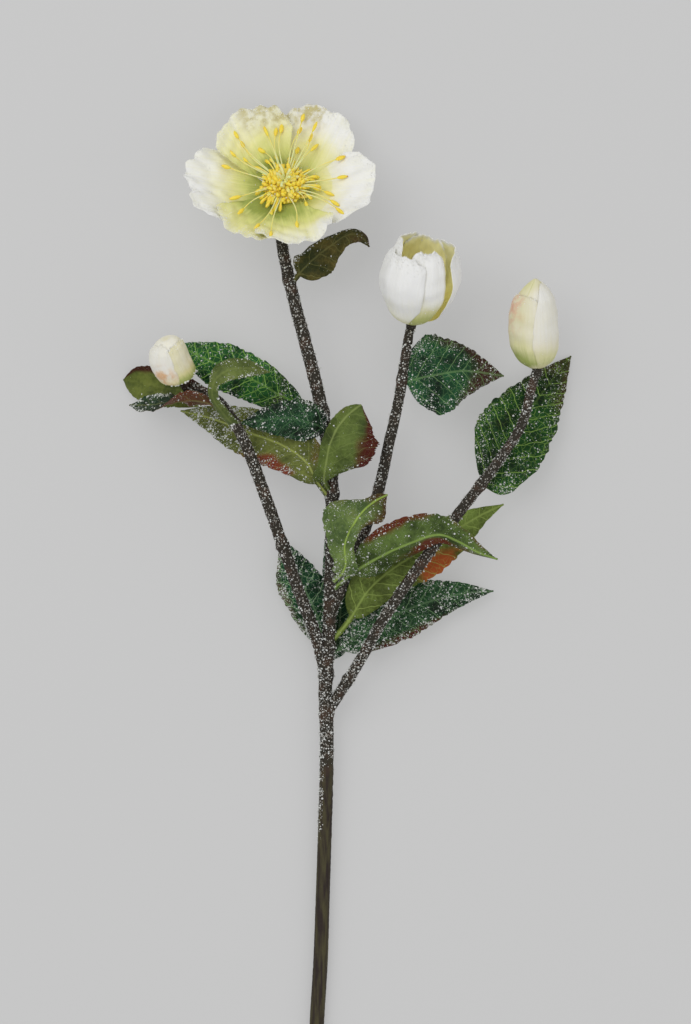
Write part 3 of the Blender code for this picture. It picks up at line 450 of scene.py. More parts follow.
def stamenMaterial(name, dark, light, tip):
    # moulded soft plastic stamens: satin, golden anthers with browner ends, paler threads
    material, tree, shader = newMaterial(name, Roughness=0.5, Subsurface_Weight=0.15,
                                         Subsurface_Scale=0.002)
    place = addNode(tree, "TexCoord").outputs["Object"]
    tint = addNode(tree, "Attribute", attribute_name="tint").outputs["Fac"]
    cloud = addNode(tree, "TexNoise", {"Vector": place, "Scale": 1 / 0.002, "Detail": 2.0}).outputs["Fac"]
    body = addNode(tree, "Mix", {0: cloud, 6: fromHex(dark), 7: fromHex(light)},
                   data_type="RGBA").outputs[2]
    thread = addNode(tree, "MapRange", {"Value": tint, "From Min": 0.5, "From Max": 0.25}).outputs[0]
    colour = addNode(tree, "Mix", {0: thread, 6: body, 7: fromHex("#e9e9a6")}, data_type="RGBA").outputs[2]
    brown = addNode(tree, "MapRange", {"Value": tint, "From Min": 0.85, "From Max": 1.0}).outputs[0]
    colour = addNode(tree, "Mix", {0: brown, 6: colour, 7: fromHex(tip)}, data_type="RGBA").outputs[2]
    tree.links.new(colour, shader.inputs["Base Color"])
    bump = addNode(tree, "Bump", {"Height": cloud, "Distance": 0.0003, "Strength": 0.6})
    tree.links.new(bump.outputs[0], shader.inputs["Normal"])
    return material


snow = snowMaterial("flockSnow", "#b4b6b2", "#f4f5f2")
petalFlock = snowMaterial("flockOnPetals", "#f0f0ec", "#fafaf8")
print("snow materials made")


# stem

stemRoutes = {  # x, y, height above the table, radius
    "main": [(-13.4, -206.2, 2.8, 3.1), (-12.4, -180.0, 2.9, 3.1), (-10.9, -155.0, 3.1, 3.1),
             (-10.0, -128.9, 3.6, 3.0), (-9.0, -98.0, 4.6, 2.95), (-8.4, -78.0, 5.6, 2.9),
             (-8.3, -55.0, 7.2, 2.9), (-8.8, -40.7, 8.6, 2.9), (-7.6, -19.7, 12.0, 2.8),
             (-6.4, 5.0, 14.5, 2.8), (-6.1, 30.0, 15.8, 2.8), (-6.2, 48.0, 16.0, 2.75),
             (-8.0, 64.3, 16.0, 2.75), (-12.0, 84.5, 16.0, 2.75), (-16.6, 102.5, 16.0, 2.7),
             (-21.3, 120.0, 16.0, 2.6), (-24.6, 134.0, 15.8, 2.5), (-26.8, 145.0, 15.0, 2.4),
             (-27.2, 152.0, 14.6, 2.4), (-26.4, 160.0, 14.8, 2.3)],
    "left": [(-8.9, -33.0, 10.0, 2.4), (-13.5, -15.8, 14.5, 2.5), (-18.7, -2.4, 18.0, 2.5),
             (-26.6, 20.2, 22.0, 2.5), (-36.3, 47.5, 25.5, 2.5), (-42.1, 62.5, 27.3, 2.4),
             (-47.0, 71.9, 28.8, 2.1), (-51.6, 79.0, 29.8, 1.8), (-57.6, 83.8, 30.4, 1.5),
             (-65.0, 86.6, 30.8, 1.5)],
    "middle": [(-6.4, -8.0, 13.0, 2.3), (-2.0, 3.5, 13.0, 2.4), (7.6, 26.5, 14.5, 2.45),
               (13.1, 42.0, 16.0, 2.45), (18.1, 64.3, 18.5, 2.3), (21.9, 81.1, 20.0, 2.2),
               (24.4, 97.9, 21.4, 2.05), (26.4, 110.0, 22.0, 1.9)],
    "right": [(-7.6, -49.4, 8.0, 2.2), (-2.1, -40.7, 11.0, 2.3), (6.8, -26.1, 17.0, 2.3),
              (14.5, -12.1, 21.5, 2.3), (23.2, 1.3, 24.0, 2.3), (33.8, 16.3, 25.0, 2.3),
              (43.9, 29.9, 25.0, 2.25), (54.4, 43.3, 23.5, 2.2), (65.7, 58.5, 21.0, 2.1),
              (73.3, 70.9, 20.2, 2.0), (77.2, 85.6, 20.0, 1.9), (79.2, 92.4, 19.6, 1.9)],
}
stemPaths = {name: smoothPath(route) for name, route in stemRoutes.items()}
stemKnots = {"main": (131.0, 76.0, 68.0, 41.5, 5.0, -22.0, -34.0, -50.0), "left": (71.0, 20.0),
             "middle": (89.0, 0.0), "right": (45.0, -36.0)}
# bareBetween: y at which the coating starts and is whole
stem = dict(sides=30, rowStep=1.0, rough=0.06, knot=0.2, crumbs=9000, crumbSize=(0.11, 0.42),
            bareBetween=(-115.0, -90.0))
bloom = dict(centre=(-25.8, 166.6, 18.0), axis=(0.0, 0.574, 0.819), reach=38.0, depth=13.0, claw=4.1,
             layerStep=1.5, thickness=0.4, rows=60, columns=65,
             head=((-9.0, 2.2), (-3.0, 3.7), (4.3, 3.7)))
goblet = dict(foot=(27.2, 113.2, 23.0), axis=(0.13, 0.87, 0.46), length=35.0, thickness=0.4,
              rows=60, columns=57, layerStep=1.4, head=((-4.0, 1.9), (0.0, 2.3), (3.0, 2.3)),
              shape=((0, 2.7), (0.06, 6.4), (0.15, 9.8), (0.4, 13.6), (0.6, 14.2), (0.8, 12.8), (1, 9.8),
                     (1.2, 6.4)))
closedBuds = {
    "bud_right": dict(foot=(79.4, 94.3, 20.0), axis=(-0.02, 0.98, 0.2), length=37.5, turn=200, bow=1.3,
                      shape=((0, 2.8), (0.04, 5.6), (0.09, 7.6), (0.23, 9.9), (0.41, 10.5), (0.62, 10.0),
                             (0.78, 8.6), (0.88, 5.8), (0.96, 2.9), (1, 0.8))),
    "bud_left": dict(foot=(-68.1, 89.2, 31.9), axis=(-0.33, 0.80, 0.50), length=20.6, turn=80, bow=1.7,
                     shape=((0, 3.2), (0.05, 6.2), (0.15, 7.9), (0.4, 8.4), (0.66, 8.2), (0.84, 7.2),
                            (0.95, 5.0), (1, 2.6))),
}


def stemShells():
    # radius(place, angle) = route's radius * (1 + rough * noise), carried along each route
    rng = np.random.default_rng(3)
    shells, places, outward, weight = [], [], [], []
    for number, (name, path) in enumerate(stemPaths.items()):
        rows = int(pathLength(path) / stem["rowStep"])
        line = alongPath(path, np.linspace(0, 1, rows))
        angle = np.arange(stem["sides"]) / stem["sides"] * 2 * np.pi
        coated = ease(line[:, 1], *stem["bareBetween"]) if name == "main" else np.ones(rows)
        lumps = ripple(line[:, 1:2] / 9 + np.cos(angle) * 0.4, 10 + number, 6, 0.6, 3.5) \
            + ripple(line[:, 1:2] / 4 - np.sin(angle) * 0.5, 20 + number, 5, 0.8, 3.0)
        knots = sum(np.exp(-((line[:, 1] - place) / 1.8) ** 2) for place in stemKnots[name])
        radius = line[:, 3:4] * 0.985 * (1 + stem["rough"] * 0.5 * lumps * (0.25 + 0.75 * coated[:, None])
                                         + stem["knot"] * knots[:, None])
        points, faces = tubeShell(line[:, :3], radius, stem["sides"])
        points[:, 2] = np.maximum(points[:, 2], 0)
        grid = points[:rows * stem["sides"]]
        centre = np.repeat(line[:, :3], stem["sides"], axis=0)
        # lowest of all the snow clings to the left side only
        clings = 1 - ease(-grid[:, 1], 66, 76) * (grid[:, 0] - centre[:, 0] > -1.2)
        snowy = np.repeat(coated, stem["sides"]) * clings
        shells.append((points, faces, 0, {"snow": np.concatenate([snowy, coated[:1], coated[-1:]])}))
        places.append(grid)
        outward.append(unit(grid - centre))
        left = grid[:, 0] - centre[:, 0] < -0.5
        patches = ease(mottle(grid[:, 1], grid[:, 0] * 1.5 + grid[:, 2], 2.5, 60 + number), -1.6, 1.3)
        bright = np.repeat(coated ** 3, stem["sides"]) * line[:, 3].mean() * np.where(left, 1.5, 1.0)
        weight.append(bright * patches * clings
                      * (1 + 0.8 * ease(-grid[:, 1], 5, 25)))
    for foot, axis, head in ((bloom["centre"], bloom["axis"], bloom["head"]),
                             (goblet["foot"], goblet["axis"], goblet["head"]),
                             (closedBuds["bud_right"]["foot"], closedBuds["bud_right"]["axis"],
                              ((-4.0, 1.7), (-2.5, 2.0), (-0.3, 2.0))),
                             (closedBuds["bud_left"]["foot"], closedBuds["bud_left"]["axis"],
                              ((-5.5, 1.7), (-3.5, 2.0), (1.0, 2.0)))):
        heights, radii = zip(*head)
        rise = np.linspace(heights[0], heights[-1], 14)
        points, faces = tubeShell(np.stack([rise * 0, rise * 0, rise], axis=1),
                                  np.interp(rise, heights, radii), 24)
        shells.append((toLayout(points, flowerFrame(foot, axis)), faces, 0,
                       {"snow": np.full(len(points), 0.5)}))
    places, outward, weight = np.concatenate(places), np.concatenate(outward), np.concatenate(weight)
    chosen = rng.choice(len(places), stem["crumbs"], p=weight / weight.sum())
    size = (stem["crumbSize"][0] + (stem["crumbSize"][1] - stem["crumbSize"][0])
            * rng.uniform(0, 1, stem["crumbs"]) ** 2.6)
    spot = places[chosen] + rng.normal(scale=0.25, size=(stem["crumbs"], 3))
    spot[:, 2] = np.maximum(spot[:, 2], size)
    return shells + snowShells(spot, outward[chosen], size, rng)


makePiece("stemCoated", stemShells(), [stemMaterial(), snow], "stem")
print("stem made")


# leaves

leafShape = dict(rows=124, columns=35, thickness=0.45, stalkHalf=1.2, tipHalf=0.4, toothLean=0.72,
                 toothDepth=0.07,
                 teeth=13, teethFrom=0.28, waves=3.5, crumbsPerSquare=2.8, crumbSize=(0.08, 0.38))
leaves = {  # shape as in the solids; flush and snow: (whole, right edge, left edge, tip, foot)
    "leaf_bloom": dict(
        on="main", foot=(-23.6, 131.0, 16.0),
        midrib=[(-16.8, 136.6, 20.0), (-7.0, 144.8, 26.0), (1.5, 149.8, 27.0), (6.6, 148.6, 23.5),
                (9.4, 144.8, 18.0)],
        width=20.0, belly=0.36, point=1.2, petiole=0.12, roll=(180, 185, 200, 235),
        sides=(1.0, 0.95), fold=(-15, -5), cup=(-75, -15), wave=0.5, tone="dark",
        upper="#1f2a1a", upperDark="#10150e", under="#5f5528", underDark="#33381b",
        vein="#8c8a52", blush="#4a2a20",
        net=0.3, flush=(0.0, 0.2, 0.0, 0.6, 0.0), snow=(0.1, 1.0, 0.0, 0.25, 0.1),
        rib=0.3),
    "leaf_left_back": dict(
        on="left", foot=(-51.0, 78.0, 29.6),
        midrib=[(-57.6, 81.0, 23.8), (-66.0, 83.8, 18.0), (-78.3, 86.4, 10.0), (-86.7, 88.4, 5.0),
                (-93.6, 89.5, 1.4)],
        width=17.0, belly=0.6, point=3.2, petiole=0.2, roll=(180, 178, 175, 172),
        sides=(1.0, 1.0), fold=(-8, -8), cup=(-16, -14), wave=0.7, tone="red",
        upper="#3a4a2a", upperDark="#26301c", under="#6c7634", underDark="#3f4a1e",
        vein="#7c8446", blush="#3f1f15",
        net=0.12, flush=(0.12, 0.1, 1.0, 0.0, 0.75), snow=(0.04, 0.0, 0.05, 0.1, 0.0),
        rib=0.15),
    "leaf_left_front": dict(
        on="left", foot=(-49.6, 76.0, 29.3),
        midrib=[(-57.0, 79.6, 34.0), (-66.0, 80.6, 33.5), (-74.5, 79.2, 29.5), (-82.5, 78.4, 23.0),
                (-90.6, 78.7, 14.0)],
        width=14.0, belly=0.5, point=1.6, petiole=0.2, roll=(140, 128, 50, 35),
        sides=(1.0, 1.0), fold=(8, 8), cup=(10, 10), wave=0.8, tone="red",
        upper="#27432a", upperDark="#121c12", under="#6c3a26", underDark="#4a3320",
        vein="#8d9358", blush="#5a2c1e",
        net=0.2, flush=(0.2, 0.2, 0.3, -0.4, 0.5), snow=(0.3, 0.9, 0.4, 0.5, 0.0),
        rib=0.3),
    "leaf_left_arched": dict(
        on="left", foot=(-46.6, 71.2, 28.6), stalk=2.3,
        midrib=[(-51.4, 76.0, 35.5), (-55.2, 82.4, 39.0), (-54.2, 88.6, 41.0), (-49.4, 92.4, 42.0),
                (-42.6, 93.6, 41.0), (-31.9, 92.0, 36.0)],
        width=9.5, belly=0.45, point=1.7, petiole=0.45, roll=(178, 172, 166, 160),
        sides=(1.0, 1.0), fold=(0, 0), cup=(-20, -20), wave=0.5, tone="pale",
        upper="#5a6636", upperDark="#3b4426", under="#6c7a3e", underDark="#49562a",
        vein="#98a35c", blush="#55402a",
        net=0.08, flush=(0.0, 0.1, 0.1, 0.3, 0.0), snow=(0.2, 0.5, 0.7, 0.5, 0.0),
        rib=0.15, rough=0.42),
    "leaf_upper_far": dict(
        on="main", foot=(-10.8, 78.0, 16.0),
        midrib=[(-19.5, 79.4, 14.5), (-27.0, 82.4, 14.5), (-35.5, 87.4, 15.0), (-44.3, 91.6, 15.0),
                (-56.0, 96.6, 13.0), (-71.6, 104.2, 9.0)],
        width=20.5, belly=0.58, point=1.8, petiole=0.14, roll=(0, 0, 5, 8),
        sides=(1.0, 1.0), fold=(6, 6), cup=(-14, -14), wave=0.8, tone="dark",
        upper="#27602a", upperDark="#0e2812", under="#6f7c48", underDark="#4e5a31",
        vein="#93bf5a", blush="#3a231a",
        net=0.8, flush=(0.0, 0.15, 0.1, -0.1, 0.85), snow=(0.3, 0.4, 0.2, 0.2, 0.5),
        rib=0.35),
    "leaf_upper_near": dict(
        on="main", foot=(-8.8, 68.0, 16.0),
        midrib=[(-11.5, 69.8, 22.5), (-16.5, 71.4, 25.0), (-23.7, 73.1, 26.0), (-34.2, 72.3, 26.5),
                (-44.5, 70.8, 24.5)],
        width=18.0, belly=0.36, point=1.5, petiole=0.1, roll=(0, 0, 0, 0),
        sides=(1.0, 1.0), fold=(5, 5), cup=(-12, -12), wave=0.8, tone="dark",
        upper="#20442a", upperDark="#0a150c", under="#59643a", underDark="#3f4829",
        vein="#5f8a58", blush="#33261d",
        net=0.45, flush=(0.1, 0.3, 0.2, 0.1, 0.2), snow=(0.45, 0.35, 0.3, 0.3, 0.35),
        rib=0.25),
    "leaf_mid_left": dict(
        on="main", foot=(-6.1, 40.6, 16.0),
        midrib=[(-12.0, 46.4, 18.9), (-17.0, 55.0, 20.0), (-26.6, 61.8, 20.0), (-38.4, 66.4, 19.5),
                (-57.3, 73.4, 16.0), (-69.3, 76.3, 13.5)],
        width=23.5, belly=0.42, point=1.7, petiole=0.13, roll=(180, 180, 178, 165),
        sides=(1.0, 1.0), fold=(-6, -6), cup=(-8, -12), wave=0.9, tone="red",
        upper="#4a5a34", upperDark="#333f24", under="#747d3c", underDark="#485026",
        vein="#a3ad5c", blush="#753222",
        net=0.25, flush=(0.05, 0.85, 0.45, -1.0, 0.0), snow=(0.4, 0.45, 0.2, 1.2, 0.2),
        rib=0.8,
        stains=[(0.24, 0.07, -0.35, 0.35, 0.55), (0.42, 0.1, 0.6, 0.4, 0.4), (0.62, 0.12, 0.2, 0.8, -0.4)]),
    "leaf_mid_right": dict(
        on="main", foot=(-6.1, 44.0, 16.0),
        midrib=[(-9.2, 47.0, 21.0), (-8.4, 54.9, 23.5), (-6.9, 62.2, 25.0), (-3.8, 69.0, 25.0),
                (1.0, 74.8, 24.5), (6.1, 78.8, 23.5)],
        width=25.0, belly=0.5, point=3.4, petiole=0.17, roll=(180, 180, 180, 180),
        sides=(0.32, 1.5), fold=(-8, -5), cup=(-14, -12), wave=0.5, tone="red",
        upper="#46552f", upperDark="#303c20", under="#5e6f33", underDark="#37441d",
        vein="#9aa863", blush="#47170f",
        net=0.15, flush=(0.0, 0.1, 0.75, 0.1, 0.0), snow=(0.1, 0.1, 0.35, 0.0, 0.4),
        rib=0.45, stains=[(0.7, 0.3, -0.85, 0.35, 0.45)],
        trim=((0, 0.3, 0.5, 0.68, 0.8, 0.92, 1), (1, 1, 1, 1.1, 1.2, 1.3, 1.3),
                       (1, 1.1, 1.04, 1.04, 0.9, 1.15, 1.6))),
    "leaf_hub_up": dict(
        on="main", foot=(-6.2, 6.0, 14.6),
        midrib=[(-0.4, 12.0, 27.0), (-0.8, 19.6, 31.2), (1.8, 27.2, 34.2), (6.6, 34.2, 34.6),
                (11.6, 38.4, 32.0), (17.0, 41.2, 28.0)],
        width=24.0, belly=0.55, point=2.0, petiole=0.16, roll=(180, 180, 180, 180),
        sides=(0.8, 1.0), fold=(-12, -4), cup=(-10, -6), wave=0.6, tone="pale",
        upper="#4e6134", upperDark="#384726", under="#74894c", underDark="#465a30",
        vein="#9db853", blush="#4a361e",
        net=0.12, flush=(0.0, 0.1, 0.45, 0.75, 0.0), snow=(0.35, 0.3, 0.4, 0.3, 0.6),
        rib=0.85, trim=((0, 0.1, 0.25, 0.45, 0.56, 0.64, 0.7, 0.8, 0.9, 1),
                       (0.7, 0.6, 0.65, 1.0, 1.65, 1.7, 0.95, 0.45, 0.6, 1),
                       (1, 0.6, 0.4, 0.35, 0.35, 0.5, 0.85, 1.05, 1.1, 1))),
    "leaf_hub_right": dict(
        on="main", foot=(-6.3, 3.0, 14.3),
        midrib=[(1.2, 7.4, 20.7), (9.5, 13.0, 25.0), (24.2, 20.2, 33.0), (38.5, 24.6, 37.0),
                (46.0, 22.0, 36.0),
                (54.0, 17.6, 33.0), (62.8, 14.3, 29.0)],
        width=22.0, belly=0.4, point=1.25, petiole=0.18, roll=(180, 180, 180, 180),
        sides=(1.1, 0.9), fold=(-5, 52), cup=(-22, 10), wave=0.8, tone="pale",
        upper="#46582f", upperDark="#303d20", under="#5d7239", underDark="#31401d",
        vein="#8fab55", blush="#5e2818",
        net=0.12, flush=(0.0, 0.3, 0.25, 0.1, 0.0), snow=(0.35, 0.3, 0.1, 0.2, 0.5),
        rib=0.7, stains=[(0.62, 0.2, -0.6, 0.45, 0.9), (0.45, 0.16, 0.95, 0.25, 0.7)]),
    "leaf_right_behind": dict(
        on="main", foot=(-7.6, -20.0, 12.0),
        midrib=[(0.6, -12.1, 12.5), (9.9, 2.1, 14.0), (20.4, 11.0, 15.0), (30.9, 17.7, 15.0),
                (43.5, 25.2, 14.0),
                (56.1, 32.6, 11.5), (65.8, 37.2, 9.0)],
        width=22.5, belly=0.42, point=1.5, petiole=0.16, roll=(180, 180, 180, 180),
        sides=(1.0, 1.0), fold=(-5, -5), cup=(-10, -10), wave=0.7, tone="pale",
        upper="#4c5f2f", upperDark="#364420", under="#74893f", underDark="#485422",
        vein="#9db05c", blush="#a04e24",
        net=0.5, flush=(0.0, 0.0, 0.1, -0.2, 0.15), snow=(0.04, 0.0, 0.05, 0.05, 0.1),
        rib=0.5, stains=[(0.62, 0.14, -0.75, 0.5, 1.1), (0.42, 0.2, 0.5, 0.4, 0.4)],
        trim=((0, 0.3, 0.5, 0.68, 0.85, 1), (1, 1, 1, 1, 1, 1), (1, 1, 1.2, 1.25, 1.1, 1))),
    "leaf_lower_right": dict(
        on="main", foot=(-7.9, -25.5, 11.1),
        midrib=[(0.0, -21.0, 9.5), (9.9, -14.2, 8.5), (22.5, -8.2, 8.5), (35.1, -3.4, 8.0),
                (47.7, -0.4, 7.5), (61.6, 0.9, 6.0)],
        width=23.5, belly=0.4, point=1.45, petiole=0.1, roll=(0, 0, 0, 0),
        sides=(1.0, 1.0), fold=(8, 8), cup=(-12, -12), wave=0.9, tone="red",
        upper="#27502c", upperDark="#0e1a10", under="#6e7848", underDark="#4e5832",
        vein="#7d9f70", blush="#4c201a",
        net=0.55, flush=(0.0, 0.75, 0.3, -0.4, 0.0), snow=(0.6, 0.3, 0.4, 0.2, 0.5),
        rib=0.3),
    "leaf_lower_left": dict(
        on="main", foot=(-8.2, -26.0, 11.0),
        midrib=[(-9.6, -20.5, 5.8), (-11.8, -11.0, 7.0), (-14.6, -4.0, 7.6), (-19.0, 4.4, 7.6),
                (-23.4, 13.0, 7.4), (-27.0, 22.4, 6.0)],
        width=20.0, belly=0.5, point=1.7, petiole=0.14, roll=(0, 0, 0, 0),
        sides=(1.0, 1.1), fold=(5, 5), cup=(-10, -10), wave=0.6, tone="dark",
        upper="#235434", upperDark="#0f2817", under="#6f7c48", underDark="#4e5a31",
        vein="#94b886", blush="#5a4a38",
        net=0.95, flush=(0.0, 0.1, 0.6, 0.0, 0.2), snow=(0.55, 0.3, 0.5, 0.3, 0.4),
        rib=0.35),
    "leaf_lower_centre": dict(
        on="main", foot=(-8.3, -32.0, 10.0),
        midrib=[(-5.4, -25.0, 4.6), (-3.0, -14.0, 3.6), (-2.6, -3.0, 3.0), (-4.0, 7.0, 3.0),
                (-9.0, 22.6, 3.6)],
        width=16.5, belly=0.45, point=1.7, petiole=0.14, roll=(0, 0, 0, 0),
        sides=(1.0, 1.0), fold=(5, 5), cup=(-8, -8), wave=0.5, tone="dark",
        upper="#235434", upperDark="#0f2817", under="#6f7c48", underDark="#4e5a31",
        vein="#94b886", blush="#4a3a2a",
        net=0.75, flush=(0.0, 0.2, 0.2, 0.0, 0.1), snow=(0.4, 0.4, 0.4, 0.4, 0.4),
        rib=0.35),
    "leaf_goblet_bud": dict(
        on="middle", foot=(23.3, 89.3, 20.8),
        midrib=[(29.4, 89.5, 20.5), (40.1, 91.7, 20.0), (49.0, 92.9, 18.0), (65.8, 90.9, 13.0)],
        width=35.0, belly=0.33, point=1.12, petiole=0.05, roll=(0, 0, 0, 0),
        sides=(1.0, 1.0), fold=(5, 5), cup=(-14, -12), wave=0.6, tone="dark",
        upper="#215030", upperDark="#0b1e12", under="#6f7c48", underDark="#4e5a31",
        vein="#7da066", blush="#3a241c",
        net=0.5, flush=(0.0, 0.35, 0.55, 1.25, -0.6), snow=(0.35, 0.25, 0.35, 0.5, 0.3),
        rib=0.4, trim=((0, 0.12, 0.3, 1), (0.8, 0.9, 1, 1), (0.8, 0.9, 1, 1))),
    "leaf_right_bud": dict(
        on="right", foot=(55.6, 45.0, 23.2),
        midrib=[(60.4, 47.2, 17.3), (64.4, 54.6, 15.5), (69.4, 64.6, 12.5), (77.0, 76.8, 9.0),
                (85.4, 88.4, 5.0), (94.3, 99.4, 1.2)],
        width=32.0, belly=0.36, point=1.6, petiole=0.075, roll=(0, 0, 0, 0),
        sides=(1.0, 1.08), fold=(4, 4), cup=(-12, -12), wave=0.7, tone="dark",
        upper="#214f1e", upperDark="#0d200c", under="#6f7c48", underDark="#4e5a31",
        vein="#87a850", blush="#3f3a20",
        net=0.7, flush=(0.0, 0.3, 0.2, 0.75, 0.0), snow=(0.4, 0.15, 0.3, 0.3, 0.3),
        rib=0.15,
        trim=((0, 0.12, 0.3, 1), (0.75, 0.85, 1, 1), (1, 1, 1, 1))),
}


def stalkRoot(leaf):
    # the place inside the stem that the stalk grows from, a little below where it comes out
    path = stemPaths[leaf["on"]]
    nearest = int(np.argmin(np.linalg.norm(path[:, :3] - np.array(leaf["foot"]), axis=1)))
    along = unit(np.gradient(path[:, :3], axis=0))[nearest]
    return path[nearest, :3] - 2.0 * along


def untwisted(along):
    # straight up at mid-leaf, carried to both ends with no twist
    up = np.zeros_like(along)
    middle = len(along) // 2
    up[middle] = unit(np.array([0.0, 0, 1]) - along[middle] * along[middle, 2])
    for row in range(middle + 1, len(along)):
        up[row] = unit(up[row - 1] - along[row] * along[row].dot(up[row - 1]))
    for row in range(middle - 1, -1, -1):
        up[row] = unit(up[row + 1] - along[row] * along[row].dot(up[row + 1]))
    return up


def leafShells(leaf, phase, seed):
    # point = rib + across * reach * run(share) + normal * (reach * rise(share) + waves), where run and
    # rise follow an arc from the fold at the rib to fold + cup at the margin
    midrib = smoothPath([stalkRoot(leaf), *leaf["midrib"]])
    length = pathLength(midrib)
    s = np.linspace(0, 1, leafShape["rows"])
    v = np.linspace(-1, 1, leafShape["columns"])[None, :]
    rib = alongPath(midrib, s)
    along = unit(alongPath(np.gradient(midrib, axis=0), s))
    up = untwisted(along)
    roll = np.radians(np.interp(s, np.linspace(0, 1, 4), leaf["roll"]))[:, None]
    normal = np.cos(roll) * up + np.sin(roll) * np.cross(along, up)
    across = np.cross(along, normal)
    bladePlace = np.clip((s - leaf["petiole"]) / (1 - leaf["petiole"]), 0, 1)
    belly = leaf["belly"]
    shoulder = np.sqrt(1 - (1 - np.minimum(bladePlace, belly) / belly) ** 2)
    taper = 1 - (np.maximum(bladePlace - belly, 0) / (1 - belly)) ** leaf["point"]
    stalk = leaf.get("stalk", leafShape["stalkHalf"])
    half = np.maximum(0.5 * leaf["width"] * np.minimum(shoulder, taper),
                      stalk + (leafShape["tipHalf"] - stalk) * bladePlace)[:, None]
    blade = np.clip((s - leaf["petiole"]) * 6, 0, 1)[:, None]
    calm = blade * (1 - s[:, None] ** 6)
    share, right = np.abs(v), v > 0
    # forward-pointing teeth of uneven depth, on the outer fifth of the blade only
    run = ((bladePlace[:, None] - leafShape["teethFrom"]) / (1 - leafShape["teethFrom"])
           * (leafShape["teeth"] + 0.4))
    run = run + 0.12 * ripple(s[:, None] * 3 + right, seed + 50, 4)
    step = run - np.floor(run)
    tooth = np.minimum(step / leafShape["toothLean"], (1 - step) / (1 - leafShape["toothLean"]))
    depth = (leafShape["toothDepth"] * np.clip(run * 1.5, 0, 1)
             * (0.75 + 0.35 * np.sin(np.floor(run) * 2.3 + seed)))
    edge = 1 - depth * (1 - tooth) * ease(share, 0.72, 1.0)
    edge = edge * (1 + 0.02 * ripple(s[:, None] * 2 + 0.4 * right, seed + 7, 4) * share)
    sideShare = np.where(right, leaf["sides"][0], leaf["sides"][1])
    reach = half * (1 + (sideShare - 1) * blade) * edge
    if "trim" in leaf:  # shares of the reach at places along the blade, right half and left half
        places, rightTrim, leftTrim = leaf["trim"]
        trimmed = np.where(right, softCurve(places, rightTrim, bladePlace, 11)[:, None],
                           softCurve(places, leftTrim, bladePlace, 11)[:, None])
        reach = reach * (1 + (trimmed - 1) * blade)
    fold = np.radians(np.where(right, leaf["fold"][0], leaf["fold"][1]) * blade)
    cup = np.radians(np.where(right, leaf["cup"][0], leaf["cup"][1]) * blade + 0.01)
    arcRun = (np.sin(fold + cup * share) - np.sin(fold)) / cup
    arcRise = (np.cos(fold) - np.cos(fold + cup * share)) / cup
    wave = leaf["wave"] * share ** 2 * calm * np.sin(
        2 * np.pi * leafShape["waves"] * s[:, None] + phase + np.where(right, 0, 1.7))
    # cloth swells between the side veins and frets finely at the margin
    awayMm = share * reach
    swell = np.cos(2 * np.pi * (s[:, None] * length - 0.85 * awayMm) / 6.5)
    wave = wave - 0.16 * calm * swell * ease(share, 0.05, 0.3) * (1 - 0.4 * share)
    wave = wave + 0.22 * calm * share ** 3 * ripple(s[:, None] * 4 + right * 0.3, seed, 6, 1.0, 5.0)
    wave = wave + 0.16 * calm * mottle(s[:, None] * length, np.sign(v) * awayMm, 2.2, seed + 3)
    middle = (rib[:, None] + across[:, None] * (np.sign(v) * reach * arcRun)[..., None]
              + normal[:, None] * (reach * arcRise + wave)[..., None])
    facing = unit(np.cross(np.gradient(middle, axis=1), np.gradient(middle, axis=0)))
    ridge = (0.55 * (1 - s[:, None]) ** 0.6 + 0.05) * np.exp(-(awayMm / 0.6) ** 2) * blade
    roundness = np.sqrt(np.clip(1 - share ** 2, 0.02, 1)) * (1 - blade) * np.ones_like(s)[:, None]
    flat = 0.5 * leafShape["thickness"] * blade * np.sqrt(np.clip(1 - share ** 8, 0.1, 1))
    upper = middle + facing * (flat + roundness + 0.2 * ridge)[..., None]
    under = middle - facing * (flat + roundness + ridge)[..., None]
    upper[..., 2], under[..., 2] = np.maximum(upper[..., 2], 0.15), np.maximum(under[..., 2], 0.0)
    # where the paint and the snow lie
    edgeShare, tipShare, footShare = ease(share, 0.35, 1.0), ease(s[:, None], 0.45,
                                                                  1.0), 1 - ease(s[:, None], 0.1, 0.5)
    def spread(values):
        whole, rightEdge, leftEdge, tip, foot = values
        return np.clip(whole + edgeShare * np.where(right, rightEdge, leftEdge) + tip * tipShare
                       + foot * footShare, 0, 1.2) * np.ones_like(share)
    flush, snowy = spread(leaf["flush"]), spread(leaf["snow"])
    for place, long, off, wide, amount in leaf.get("stains", ()):
        flush = flush + amount * np.exp(-((s[:, None] - place) / long) ** 2 - ((v - off) / wide) ** 2)
    flush = flush * ease(blade, 0.2, 1.0)
    patches = ease(mottle(s[:, None] * length, np.sign(v) * awayMm, 2.6, seed + 5), -1.3, 1.6) * 1.5
    patches = (patches * ease(mottle(s[:, None] * length, np.sign(v) * awayMm, 0.9, seed + 6), -0.8, 1.2)
               * 1.9)
    snowUpper = snowy * (0.25 + 0.75 * ease(facing[..., 2], -0.2, 0.3))
    snowUnder = snowy * (0.25 + 0.75 * ease(-facing[..., 2], -0.2, 0.3))
    alongMm = s[:, None] * length * np.ones_like(share)
    cloth = np.stack([alongMm, np.sign(v) * awayMm, np.ones_like(alongMm)], axis=-1)
    clothUnder = cloth * np.array([1, 1, 0])
    marks = {"cloth": np.concatenate([cloth.reshape(-1, 3), clothUnder.reshape(-1, 3)]),
             "flush": np.concatenate([flush.ravel(), flush.ravel()]),
             "snow": np.concatenate([snowUpper.ravel(), snowUnder.ravel()])}
    shells = [(*sheetShell(upper, under), 0, marks)]
    rng = np.random.default_rng(seed + 900)
    cell = np.linalg.norm(np.cross(np.gradient(middle, axis=1), np.gradient(middle, axis=0)), axis=-1)
